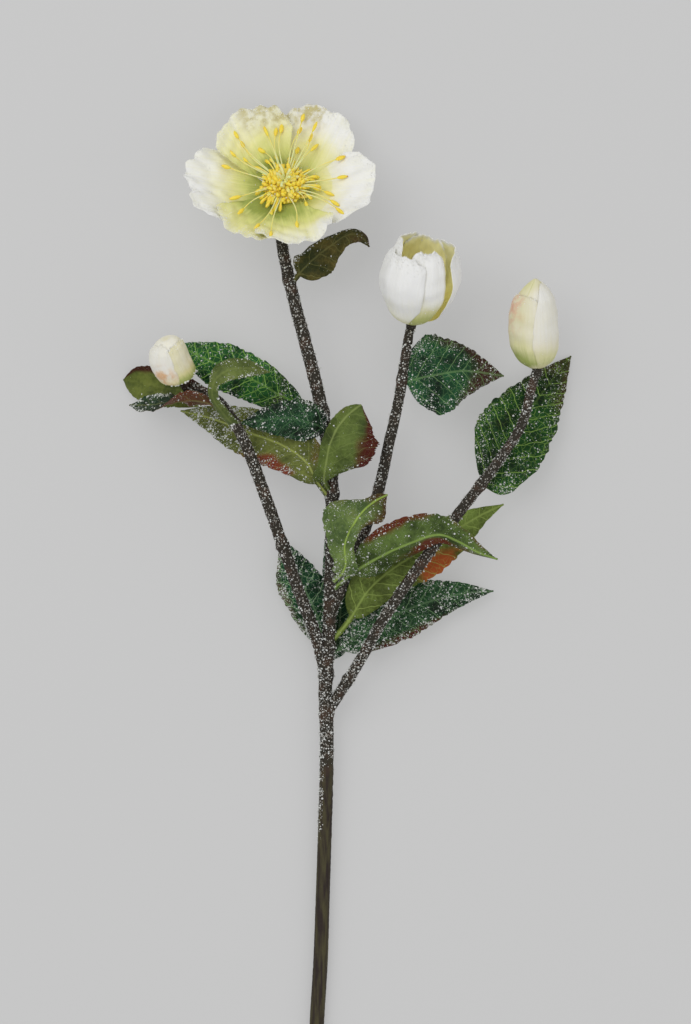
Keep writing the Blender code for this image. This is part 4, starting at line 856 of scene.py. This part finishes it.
    turned = np.where(facing[..., 2:3] >= 0, 1.0, -1.0)
    surface = np.where(turned > 0, upper, under).reshape(-1, 3)
    weight = (cell * patches * np.where(facing[..., 2] >= 0, snowUpper, snowUnder) ** 1.5).ravel()
    count = int(weight.sum() * leafShape["crumbsPerSquare"])
    chosen = rng.choice(len(surface), count, p=weight / weight.sum())
    size = (leafShape["crumbSize"][0] + (leafShape["crumbSize"][1] - leafShape["crumbSize"][0])
            * rng.uniform(0, 1, count) ** 3.4)
    spot = surface[chosen] + rng.normal(scale=0.22, size=(count, 3))
    return shells + snowShells(spot, (facing * turned).reshape(-1, 3)[chosen], size, rng)


for number, (name, leaf) in enumerate(leaves.items()):
    leaf.setdefault("rough", 0.5)
    leaf.setdefault("rib", 0.55)
    material = leafMaterial(name.replace("leaf_", "clothLeaf_"), leaf)
    makePiece(name + "_cloth", leafShells(leaf, 1.3 * number, 100 + number), [material, snow], name)
print("leaves made:", len(leaves))


# open bloom

# direction, length, layer, half angle, edge curl; tint: where the green ends; rim: where white is full
bloomPetals = {
    "petal_left": dict(way=186, length=41.0, layer=0, half=38, curl=-1.2, green=0.9, white=1.0,
                       blotch=None),
    "petal_top_left": dict(way=120, length=37.0, layer=2, half=37, curl=1.2, green=1.0, white=1.3,
                           blotch=(104, 0.86)),
    "petal_top_right": dict(way=62, length=39.0, layer=0, half=37, curl=-0.8, green=0.9, white=1.02,
                            blotch=(80, 0.9)),
    "petal_right": dict(way=350, length=38.0, layer=1, half=40, curl=0.4, green=0.4, white=0.8,
                        blotch=None),
    "petal_bottom_right": dict(way=280, length=38.0, layer=2, half=34, curl=2.0, green=1.8, white=1.25,
                               blotch=None, lobe=(301, 10)),
    "petal_bottom_left": dict(way=236, length=36.0, layer=1, half=33, curl=0.4, green=2.2, white=1.4,
                              blotch=None),
}
petalLook = dict(tints=((0.0, "#f4f4f0"), (0.3, "#f3f1cf"), (0.55, "#ece9a4"), (0.8, "#d9dc86"),
                        (1.0, "#a4b25a")),
                 inside="#eceac9", insideDark="#dcd9ac", insideShare=0.0, blotch="#c2b883")
bloomPlace = flowerFrame(bloom["centre"], bloom["axis"])


def bowlHeight(radius, angle):
    # shallow bowl, 13 mm deep at the rim, that ripples more towards it
    share = radius / bloom["reach"]
    slow = 1.1 * share ** 2 * np.sin(7 * angle + 0.6) + 0.5 * share ** 3 * np.sin(13 * angle + 1.9)
    return bloom["depth"] * share ** 1.7 + slow


def petalSnow(surface, facing, weight, count, flower, seed):
    # fine flock that makes a petal's rim look fluffy, with a little over its face
    rng = np.random.default_rng(seed + 5)
    weight = (weight * np.ones(surface.shape[:2])).ravel()
    chosen = rng.choice(weight.size, count, p=weight / weight.sum())
    spot = surface.reshape(-1, 3)[chosen] + rng.normal(scale=0.15, size=(count, 3))
    outward = facing.reshape(-1, 3)[chosen] @ flower[1]
    return snowShells(toLayout(spot, flower), outward, rng.uniform(0.09, 0.26, count), rng)


def bloomPetalShells(petal, seed):
    # polar sheet: a claw that spreads to a broad blade with a ruffled, rounded rim
    out = np.linspace(0, 1, bloom["rows"])[:, None]
    w = np.linspace(-1, 1, bloom["columns"])[None, :]
    spread = 36 + (petal["half"] - 36) * np.clip(out / 0.4, 0, 1)
    angle = np.radians(petal["way"] + w * spread)
    rim = (petal["length"] * (0.70 + 0.30 * np.sqrt(1 - 0.96 * w ** 2))
           * (1 + 0.02 * np.sin(9 * w + petal["way"])))
    rim = rim * (1 + 0.016 * ripple(w * 0.6, seed, 7, 1.5, 8.0))
    radius = bloom["claw"] + (rim - bloom["claw"]) * out ** 0.9
    share = radius / petal["length"]
    height = (bowlHeight(radius, angle) + bloom["layerStep"] * petal["layer"] + petal["curl"]
              * np.abs(w) ** 3 * out ** 2)
    height = height + 0.8 * out ** 4 * ripple(w * 0.6, seed + 1, 6, 1.0, 5.0)
    height = height + 0.07 * ease(out, 0.1, 0.5) * np.sin(w * 27 + 1.5 * np.sin(3 * out + seed))
    height = height + 0.35 * out ** 2 * ripple(w * 1.1 + 0.2 * out, seed + 2, 5, 1.5, 4.0)
    height = (height + 0.22 * ease(out, 0.15, 0.7)
              * mottle(radius, radius * np.radians(w * spread), 3.5, seed + 4))
    curled = 0 * height
    if "lobe" in petal:  # white corner that curls up
        way, wide = petal["lobe"]
        curled = ease(share, 0.6, 0.85) * np.exp(-((np.degrees(angle) - way) / wide) ** 4)
    height = height + 2.6 * curled
    middle = np.stack([radius * np.cos(angle), radius * np.sin(angle), height * np.ones_like(radius)],
                      axis=2)
    facing = unit(np.cross(np.gradient(middle, axis=0), np.gradient(middle, axis=1)))
    facing = facing * np.sign(facing[..., 2:3])
    thick = 0.5 * bloom["thickness"] * np.sqrt(np.clip(1 - np.maximum(np.abs(w), out ** 3) ** 10, 0.12, 1))
    upper, under = middle + facing * thick[..., None], middle - facing * thick[..., None]
    tint = 1 - ease(share, petal["green"] * 0.15, petal["white"])
    tint = np.maximum(tint, 1.0 - 0.5 * ease(radius, 9, 20)) * (radius < 20) + tint * (radius >= 20)
    tint = tint * (1 - curled)
    blotch = np.zeros_like(tint)
    if petal["blotch"]:
        way, reach = petal["blotch"]
        blotch = ease(share, reach - 0.22, reach) * (1 - ease(np.abs(np.degrees(angle) - way), 12, 26))
    cloth = np.stack([radius, np.radians(w * spread) * radius, np.ones_like(radius)], axis=-1).reshape(-1,
                                                                                                       3)
    marks = {"cloth": np.concatenate([cloth, cloth * np.array([1, 1, 0])]),
             "tint": np.concatenate([tint.ravel(), tint.ravel() * 0.7]),
             "blotch": np.concatenate([blotch.ravel(), blotch.ravel()])}
    points, faces = sheetShell(upper, under)
    shells = [(toLayout(points, bloomPlace), [face[:, ::-1] for face in faces], 0, marks)]
    return shells + petalSnow(upper, facing, out ** 14, 420, bloomPlace, seed)


petalCloth = petalMaterial("petalCloth", petalLook)
for number, (name, petal) in enumerate(bloomPetals.items()):
    makePiece(name + "_cloth", bloomPetalShells(petal, 300 + 10 * number), [petalCloth, petalFlock], name)
print("bloom petals made")

stamens = dict(threadRadius=0.27, antherRadius=0.85, antherLength=5.4, boss=130, bossRadius=9.8,
               bossRise=4.4,
               antherSeen=[(-19.1, 18.9), (-16.4, 15.1), (-20.2, 11.4), (-22.4, 6.1), (-15.2, 9.1),
                           (-6.6, 20.4),
                           (-3.4, 20.4), (-1.2, 21.6), (7.6, 26.0), (6.0, 21.0), (12.3, 22.2), (10.9, 17.4),
                           (11.7, 13.8), (-8.1, 12.9), (5.4, 12.9), (22.2, 9.6), (22.8, 1.8), (12.3, 2.4),
                           (17.4, -4.0), (20.1, -8.1), (22.2, -11.4), (9.3, -8.4), (5.7, -17.1), (-4.5,
                                                                                                  -12.0),
                           (-4.8, -21.3), (-9.9, -18.3), (-16.5, -11.7), (-18.0, -6.3)])


def blobShell(centre, axis, length, radius, sides=7, rings=7):
    # plump spindle: radius * sin of its place along its axis, to the power 0.6
    t = np.linspace(0.02, 0.98, rings)
    path = np.asarray(centre)[None] + (t[:, None] - 0.5) * length * np.asarray(axis)[None]
    return tubeShell(path, radius * np.sin(np.pi * t) ** 0.6, sides)


def stamenShells():
    rng = np.random.default_rng(41)
    shells = []
    for dx, dy in stamens["antherSeen"]:
        # the place seen from above is turned into the flower's own axes, on the bowl
        x, seen = dx - 0.5, dy + 4.8
        height = 10.0
        for _ in range(4):
            y = (seen - bloom["axis"][1] * height) / bloom["axis"][2]
            reach, angle = np.hypot(x, y), np.arctan2(y, x)
            height = bowlHeight(reach, angle) + 2 * bloom["layerStep"] + rng.uniform(1.0, 1.4)
        t = np.linspace(0, 1, 16)
        r = 5.0 + (reach - 5.0) * t
        end = height
        h = 6.8 + (end - 6.8) * t ** 1.6 + 1.4 * np.sin(np.pi * t)
        turn = angle + 0.10 * rng.uniform(-1, 1) * np.sin(np.pi * t)
        thread = np.stack([r * np.cos(turn), r * np.sin(turn), h], axis=1)
        points, faces = tubeShell(thread, stamens["threadRadius"] * (1.25 - 0.5 * t), 6)
        threadTint = np.concatenate([np.repeat(0.1 + 0.35 * t, 6), [0.1, 0.45]])
        shells.append((toLayout(points, bloomPlace), faces, 0, {"tint": threadTint}))
        heading = unit(thread[-1] - thread[-4] + rng.normal(scale=0.12, size=3))
        size = stamens["antherLength"] * rng.uniform(0.7, 1.15)
        points, faces = blobShell(thread[-1] + heading * size * 0.35, heading, size,
                                  stamens["antherRadius"] * rng.uniform(0.8, 1.15))
        tint = 0.55 + 0.45 * ease(np.concatenate([np.repeat(np.linspace(0, 1, 7), 7), [0, 1]]), 0.6,
                                  1.05) * rng.uniform(0.3, 1.1)
        shells.append((toLayout(points, bloomPlace), faces, 0, {"tint": tint}))
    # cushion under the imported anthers, then the anthers in a sunflower spiral
    rise = np.linspace(0, 1, 14)
    dome = np.stack([rise * 0, rise * 0, 4.7 + stamens["bossRise"] * rise], axis=1)
    points, faces = tubeShell(dome, (stamens["bossRadius"] - 1.2) * np.sqrt(np.clip(1 - rise ** 2.4, 0.01,
                                                                                    1)), 36)
    shells.append((toLayout(points, bloomPlace), faces, 0, {"tint": np.full(len(points), 0.6)}))
    for k in range(stamens["boss"]):
        part = (k + 0.5) / stamens["boss"]
        radius = (stamens["bossRadius"] - 0.4) * np.sqrt(part) * rng.uniform(0.95, 1.05)
        angle = k * 2.39996 + rng.uniform(-0.1, 0.1)
        tilt = 0.2 + 1.0 * part
        axis = np.array([np.cos(angle) * np.sin(tilt), np.sin(angle) * np.sin(tilt), np.cos(tilt)])
        axis = unit(axis + rng.normal(scale=0.42, size=3))
        height = 5.0 + stamens["bossRise"] * np.sqrt(max(0.0, 1 - part ** 1.2)) + rng.uniform(-0.2, 0.9)
        centre = np.array([radius * np.cos(angle), radius * np.sin(angle), height])
        points, faces = blobShell(centre, axis, rng.uniform(2.4, 4.6), rng.uniform(0.6, 1.05), 6, 6)
        shells.append((toLayout(points, bloomPlace), faces, 0,
                       {"tint": np.full(len(points), rng.uniform(0.3, 0.86))}))
    # stubby ones with brown tips that lie out over the petals' feet
    for k in range(34):
        angle, reach = rng.uniform(0, 2 * np.pi), rng.uniform(10.5, 15.5)
        t = np.linspace(0, 1, 8)
        r, end = 7.5 + (reach - 7.5) * t, bowlHeight(reach,
                                                     angle) + 2 * bloom["layerStep"] + rng.uniform(0.8, 2.4)
        path = np.stack([r * np.cos(angle), r * np.sin(angle), 7.5 + (end - 7.5) * t + np.sin(np.pi * t)],
                        axis=1)
        points, faces = tubeShell(path, 0.35 + 0.45 * ease(t, 0.5, 0.8) * (1 - 0.7 * ease(t, 0.9, 1.0)), 6)
        tint = 0.25 + 0.75 * t * rng.uniform(0.3, 1.0)
        shells.append((toLayout(points, bloomPlace), faces, 0,
                       {"tint": np.concatenate([np.repeat(tint, 6), tint[[0, -1]]])}))
    spots = rng.normal(scale=6.0, size=(150, 3)) * np.array([1, 1, 0])
    spots[:, 2] = 9.8 - 0.02 * (spots[:, :2] ** 2).sum(axis=1)
    return shells + snowShells(toLayout(spots, bloomPlace), np.tile(bloomPlace[1][2], (150, 1)),
                               rng.uniform(0.12, 0.32, 150), rng)


gold = stamenMaterial("goldAnther", "#f7cf1c", "#ffee66", "#b8732e")
makePiece("bloomStamens", stamenShells(), [gold, snow], "bloom_stamens")


def pistilShells():
    # cream styles that lean apart from one foot, a few strands lying over the anthers
    shells = []
    t = np.linspace(0, 1, 12)
    points, faces = tubeShell(np.stack([t * 0, t * 0, 4.6 + 3 * t], axis=1), 2.2 - 0.4 * t, 16)
    shells.append((toLayout(points, bloomPlace), faces, 0, {"tint": np.full(len(points), 0.2)}))
    for angle, reach, top in ((0.4, 3.2, 14.4), (1.65, 5.5, 13.6), (2.9, 3.4, 14.2), (4.2, 5.8, 12.8),
                              (5.4, 3.0, 14.0)):
        r = 0.8 + (reach - 0.8) * t ** 2
        path = np.stack([r * np.cos(angle + 0.3 * t), r * np.sin(angle + 0.3 * t),
                         5.5 + (top - 5.5) * np.sin(t * 1.57)], axis=1)
        points, faces = tubeShell(path, 0.7 - 0.2 * t + 0.15 * ease(t, 0.85, 1.0), 8)
        shells.append((toLayout(points, bloomPlace), faces, 0, {"tint": np.full(len(points), 0.25)}))
    return shells


cream = stamenMaterial("creamStyle", "#e9e3a6", "#f6f2cc", "#e8e0b0")
makePiece("bloomPistil", pistilShells(), [cream], "bloom_pistil")
print("stamens and pistil made")


# opening bud

gobletPetals = {  # direction, layer, half angle, share of the length
    "goblet_petal_right": dict(way=14, layer=2.5, half=52, share=1.0, base=0.1, hug=-0.1),
    "goblet_petal_back": dict(way=82, layer=0, half=48, share=1.02, base=0.3, hug=0.0),
    "goblet_petal_left_back": dict(way=156, layer=0.6, half=66, share=1.06, base=0.1, hug=0.2),
    "goblet_petal_front_left": dict(way=226, layer=1.8, half=52, share=0.97, base=0.3, hug=0.3),
    "goblet_petal_front_right": dict(way=282, layer=0.6, half=38, share=1.05, base=1.1, hug=0.4),
}
# inside is the inner face's own cream-yellow; on the goblet, insideDark is painted shade deep in the cup
gobletLook = dict(tints=((0.0, "#f2f2f0"), (0.3, "#efeedd"), (0.6, "#e2dfae"), (1.0, "#b9bd78")),
                  inside="#fffbc8", insideDark="#faf094", insideShare=1.0, blotch="#c9c080")
gobletPlace = flowerFrame(goblet["foot"], goblet["axis"])


def gobletShells(petal, seed):
    # sheet wrapped round the cup: radius from the profile at its height, lip rounded and wavy
    out = np.linspace(0, 1, goblet["rows"])[:, None]
    w = np.linspace(-1, 1, goblet["columns"])[None, :]
    lip = (petal["share"] * (0.89 + 0.11 * (1 - 0.98 * w ** 4) ** 0.6)
           * (1 + 0.008 * ripple(w * 0.6, seed, 6, 1, 6)))
    height = out * lip * (1 + 0.015 * np.sin(6 * w + petal["way"]))
    stations, radii = zip(*goblet["shape"])
    spread = 24 + (petal["half"] - 24) * np.clip(out / 0.35, 0, 1)
    angle = np.radians(petal["way"] + w * spread)
    proud = (goblet["layerStep"] * petal["layer"] * np.clip(height / 0.08, 0, 1)
             * (0.4 + 0.6 * ease(height, 0.2, 0.7)))
    radius = softCurve(stations, radii, height, 9) + proud * (1 - petal["hug"] * np.abs(w) ** 5)
    radius = radius + 0.35 * np.sin(5 * angle) * np.clip(height, 0, 1)
    radius = radius + 0.22 * out ** 2 * ripple(w * 0.8 + 0.3 * out, seed + 1, 5, 1, 4)
    radius = radius + 0.02 * np.sin(w * 30 + 2 * out) * ease(out, 0.1, 0.4)
    radius = radius + 0.16 * ease(out, 0.1, 0.5) * mottle(height * 35, angle * 13, 4.5, seed + 2)
    middle = np.stack([radius * np.cos(angle), radius * np.sin(angle), height * goblet["length"]], axis=2)
    facing = unit(np.cross(np.gradient(middle, axis=1), np.gradient(middle, axis=0)))
    thick = 0.5 * goblet["thickness"] * np.sqrt(np.clip(1 - np.maximum(np.abs(w), out ** 3) ** 10, 0.12, 1))
    outer, inner = middle + facing * thick[..., None], middle - facing * thick[..., None]
    tint = petal["base"] * (1 - ease(height, 0.1, 0.6)) + 0.3 * (1 - ease(height, 0.0, 0.25)) - 0.05
    inside = (1 - ease(out, 0.93, 1.0)) * np.ones_like(tint)
    # inner face: cream-yellow, painted darker yellow deeper in the cup and paler towards the lip; this
    # falloff is painted shade of the cup's hollow
    deep = (0.7 - 0.6 * ease(height, 0.3, 0.95)) * np.ones_like(tint)
    cloth = np.stack([height * goblet["length"], np.radians(w * spread) * radius, inside * 0], axis=-1)
    clothInside = np.stack([cloth[..., 0], cloth[..., 1], inside], axis=-1)
    marks = {"cloth": np.concatenate([cloth.reshape(-1, 3), clothInside.reshape(-1, 3)]),
             "tint": np.concatenate([tint.ravel(), deep.ravel()]), "blotch": np.zeros(2 * tint.size)}
    points, faces = sheetShell(outer, inner)
    snowy = petalSnow(outer, facing, out ** 16 + 0.002, 420, gobletPlace, seed)
    return [(toLayout(points, gobletPlace), faces, 0, marks)] + snowy


gobletCloth = petalMaterial("gobletCloth", gobletLook)
for number, (name, petal) in enumerate(gobletPetals.items()):
    makePiece(name + "_cloth", gobletShells(petal, 400 + 10 * number), [gobletCloth, petalFlock], name)


def gobletStamenShells():
    rng = np.random.default_rng(8)
    t = np.linspace(0, 1, 10)
    points, faces = tubeShell(np.stack([t * 0, t * 0, 3.3 + 5.5 * t], axis=1), 2.0 + 0.6 * t, 16)
    shells = [(toLayout(points, gobletPlace), faces, 0, {"tint": np.full(len(points), 0.3)})]
    for k in range(14):
        angle, lean, top = 2 * np.pi * k / 14, rng.uniform(2.4, 5.0), rng.uniform(14.0, 18.5)
        path = np.stack([(1.0 + (lean - 1.0) * t) * np.cos(angle), (1.0 + (lean - 1.0) * t) * np.sin(angle),
                         5.5 + (top - 5.5) * t], axis=1)
        points, faces = tubeShell(path, 0.35 + 0.5 * ease(t, 0.7, 0.9) * (1 - 0.6 * ease(t, 0.92, 1.0)), 6)
        shells.append((toLayout(points, gobletPlace), faces, 0,
                       {"tint": np.concatenate([np.repeat(0.2 + 0.6 * t, 6), [0.2, 0.8]])}))
    return shells


makePiece("gobletStamens", gobletStamenShells(), [gold], "goblet_stamens")
print("opening bud made")


# closed buds

budLooks = {
    "bud_right": dict(tints=((0.0, "#f1f0ea"), (0.35, "#e9e4cb"), (0.7, "#dcd9a4"), (1.0, "#a3ae62")),
                      inside="#d8cdb2", insideDark="#c9bd9c", insideShare=0.0, blotch="#e3b398"),
    "bud_left": dict(tints=((0.0, "#f0efe8"), (0.4, "#ece6c8"), (0.75, "#dcd69a"), (1.0, "#a9b268")),
                     inside="#e6dcb0", insideDark="#dccf9c", insideShare=0.0, blotch="#e0b68c"),
}


# petals wrapped over the bud: direction, half angle, top, how proud, tint at mid-height, stain
budSheets = {
    "bud_right": [dict(way=215, half=86, top=0.84, lift=0.15, tint=0.5, stain=1.1),
                  dict(way=326, half=58, top=0.97, lift=0.5, tint=0.1, stain=0.0)],
    "bud_left": [dict(way=318, half=66, top=0.92, lift=0.12, tint=0.5, stain=0.2),
                 dict(way=222, half=66, top=0.98, lift=0.42, tint=0.1, stain=1.5)],
}


def budSheetShells(name, bud, sheet, seed, rows=46, columns=35):
    # petal that follows the bud's profile a little proud of it, round at its top
    out = np.linspace(0, 1, rows)[:, None]
    w = np.linspace(-1, 1, columns)[None, :]
    height = (out * sheet["top"] * (0.9 + 0.1 * np.sqrt(1 - 0.98 * w ** 2))
              * (1 + 0.01 * ripple(w * 0.5, seed, 4, 1, 4)))
    spread = sheet["half"] * (0.75 + 0.25 * np.clip(out / 0.3, 0, 1)) * (1 - 0.25 * out ** 4)
    angle = np.radians(sheet["way"] + w * spread) + 0.25 * (height - 0.5)
    stations, radii = zip(*bud["shape"])
    radius = (softCurve(stations, radii, height) * 0.97 + sheet["lift"] * ease(out, 0.02, 0.2)
              * (1 - 0.3 * np.abs(w) ** 4))
    radius = radius + 0.08 * mottle(height * bud["length"], angle * 9, 3.0, seed) * ease(out, 0.1, 0.4)
    radius = radius + 0.02 * np.sin(w * 24 + 2 * out)
    bow = bud["bow"] * np.sin(np.pi * height)
    middle = np.stack([radius * np.cos(angle) - bow, radius * np.sin(angle), height * bud["length"]],
                      axis=2)
    facing = unit(np.cross(np.gradient(middle, axis=1), np.gradient(middle, axis=0)))
    thick = 0.13 * np.sqrt(np.clip(1 - np.maximum(np.abs(w), out ** 3) ** 6, 0.05, 1))[..., None]
    tint = (sheet["tint"] * ease(out, 0.0, 0.1) + 0.75 * (1 - ease(height, 0.0, 0.48)) + 0.1
            * ease(height, 0.9, 1))
    if name == "bud_right":  # the left petal pales towards the right one
        tint = tint - 0.2 * ease(w, 0.2, 0.9)
    stain = (sheet["stain"] * ease(out, 0.3, 0.9) * (1 - ease(w, -0.3, 0.6))
             * (1 - 0.5 * ease(out, 0.95, 1.0)))
    if name == "bud_left":
        stain = sheet["stain"] * np.exp(-((out - 0.35) / 0.22) ** 2 - ((w - 0.35) / 0.5) ** 2)
    cloth = np.stack([height * bud["length"], angle * 9, angle * 0], axis=-1).reshape(-1, 3)
    marks = {"cloth": np.concatenate([cloth, cloth]), "tint": np.concatenate([tint.ravel(), tint.ravel()]),
             "blotch": np.concatenate([stain.ravel(), stain.ravel()])}
    place = flowerFrame(bud["foot"], bud["axis"])
    points, faces = sheetShell(middle + facing * thick, middle - facing * thick)
    return ([(toLayout(points, place), faces, 0, marks)]
            + petalSnow(middle, facing, out ** 12 + 0.01, 90, place, seed))


def budShells(name, bud, rows=90, perLayer=36):
    # spiral section: each petal starts proud and sinks as it wraps, turning slowly up the bud
    layers, sink = 3, 0.10
    share = np.tile(np.minimum(np.arange(perLayer + 1) / perLayer, 0.97), layers)
    start = np.concatenate([(layer + np.minimum(np.arange(perLayer + 1) / perLayer,
                                                0.985)) / layers for layer in range(layers)])
    height = np.linspace(0, 1, rows)[:, None]
    stations, radii = zip(*bud["shape"])
    angle = 2 * np.pi * start[None] + np.radians(bud["turn"]) + 0.9 * height
    drop = sink * np.sin(np.pi * np.clip(height * 1.1, 0, 1)) ** 0.5
    radius = (softCurve(stations, radii, height) * (1 - drop * share[None])
              * (1 - 0.06 * ease(height, 0.02, 0.2)))
    radius = radius * (1 + 0.004 * np.sin(40 * angle) * ease(height, 0.05, 0.3))
    bow = bud["bow"] * np.sin(np.pi * height)
    points = np.stack([radius * np.cos(angle) - bow, radius * np.sin(angle),
                       height * bud["length"] * np.ones_like(radius)], axis=2)
    count = points.shape[0] * points.shape[1]
    columns = points.shape[1]
    ends = np.array([[0, 0, 0.0], [0, 0, bud["length"]]])
    ring, last = np.arange(columns), count - columns + np.arange(columns)
    caps = np.concatenate([np.stack([np.roll(ring, -1), ring, np.full(columns, count)], axis=-1),
                           np.stack([last, np.roll(last, -1), np.full(columns, count + 1)], axis=-1)])
    # seen from above: x to the right, y up the bud; the marks follow those
    x = points[..., 0] / 10
    base, tip = 1 - ease(height, 0.0, 0.3), ease(height, 0.8, 1.0)
    edge = 1 - ease(share[None] * np.ones_like(height), 0.0, 0.05)
    if name == "bud_right":
        tint = (0.15 + 0.75 * base + 0.35 * tip + 0.4 * (1 - ease(x, -0.9, 0.3)) + 0.3 * edge
                * ease(height, 0.5, 0.9))
        blotch = 0.8 * ease(-x, 0.45, 0.95) * ease(height, 0.45, 0.72) * (1 - ease(height, 0.8, 0.95))
    else:
        tint = 0.05 + 0.7 * base + 0.45 * ease(x, 0.2, 0.9) + 0.1 * tip
        blotch = 0.7 * (1 - ease(np.abs(x + 0.1), 0.1, 0.6)) * (1 - ease(np.abs(height - 0.35), 0.1, 0.32))
    cloth = np.stack([height * bud["length"] * np.ones_like(radius), angle * 9, radius * 0], axis=-1)
    marks = {"cloth": np.concatenate([cloth.reshape(-1, 3), np.zeros((2, 3))]),
             "tint": np.concatenate([tint.ravel(), [0.8, 0.4]]), "blotch": np.concatenate([blotch.ravel(),
                                                                                           [0, 0]])}
    place = flowerFrame(bud["foot"], bud["axis"])
    allPoints = toLayout(np.concatenate([points.reshape(-1, 3), ends]), place)
    shells = [(allPoints, [gridFaces(rows, columns, closed=True), caps], 0, marks)]
    rng = np.random.default_rng(77)
    if name == "bud_left":  # crumbs of snow along its lower edge
        pick = rng.choice(np.arange(2 * columns, 14 * columns), 90)
        out = unit(points.reshape(-1, 3)[pick] * np.array([1, 1, 0]))
        spots = toLayout(points.reshape(-1, 3)[pick], place)
        shells += snowShells(spots, out @ place[1], rng.uniform(0.15, 0.6, 90), rng)
    for number, sheet in enumerate(budSheets[name]):
        shells += budSheetShells(name, bud, sheet, 500 + number)
    return shells


for name, bud in closedBuds.items():
    makePiece(name + "_cloth", budShells(name, bud), [petalMaterial(name + "Cloth", budLooks[name]),
                                                      petalFlock], name)
print("closed buds made")


# table, light and camera

studio = dict(table="#8c8c8c", tableGlow=0.33, tableSize=3.0, cameraHeight=3.0, aim=(-0.4, 34.0),
              viewHeight=0.43008,
              keyPower=17.0, fillPower=8.0, worldStrength=0.55)

tableMesh = bpy.data.meshes.new("table")
reach = studio["tableSize"]
tableMesh.from_pydata([(-reach, -reach, 0), (reach, -reach, 0), (reach, reach, 0), (-reach, reach, 0)], [],
                      [(0, 1, 2, 3)])
table = bpy.data.objects.new("table", tableMesh)
bpy.context.scene.collection.objects.link(table)
# opal acrylic light table, about half of its brightness from below, which keeps the shadows as faint as
# the photograph's
tableTop, _, tableShader = newMaterial("opalTable", Roughness=0.85, Specular_IOR_Level=0.2)
tableShader.inputs["Emission Color"].default_value = (1, 1, 1, 1)
tableShader.inputs["Emission Strength"].default_value = studio["tableGlow"]
tableShader.inputs["Base Color"].default_value = fromHex(studio["table"])
tableMesh.materials.append(tableTop)


def softLight(name, power, size, place, aim=(0, 0.03, 0.02)):
    light = bpy.data.lights.new(name, "AREA")
    light.energy, light.size = power, size
    lamp = bpy.data.objects.new(name, light)
    bpy.context.scene.collection.objects.link(lamp)
    lamp.location = place
    lamp.rotation_euler = (Vector(aim) - Vector(place)).to_track_quat("-Z", "Y").to_euler()


softLight("keyLight", studio["keyPower"], 1.8, (-0.9, 0.9, 1.7))
softLight("fillLight", studio["fillPower"], 2.2, (1.1, -0.6, 1.6))
world = bpy.data.worlds.new("studio")
bpy.context.scene.world = world
world.use_nodes = True
world.node_tree.nodes["Background"].inputs["Color"].default_value = (1, 1, 1, 1)
world.node_tree.nodes["Background"].inputs["Strength"].default_value = studio["worldStrength"]

bpy.context.scene.view_settings.view_transform = "Standard"
cameraData = bpy.data.cameras.new("camera")
camera = bpy.data.objects.new("camera", cameraData)
bpy.context.scene.collection.objects.link(camera)
aim = (np.array([*studio["aim"], 0]) - layoutCentre) * mm
camera.location = (float(aim[0]), float(aim[1]), studio["cameraHeight"])
cameraData.sensor_fit = "VERTICAL"
cameraData.sensor_height = 24.0
cameraData.lens = 24.0 * studio["cameraHeight"] / studio["viewHeight"]
cameraData.clip_end = 20.0
bpy.context.scene.camera = camera
print("studio made")
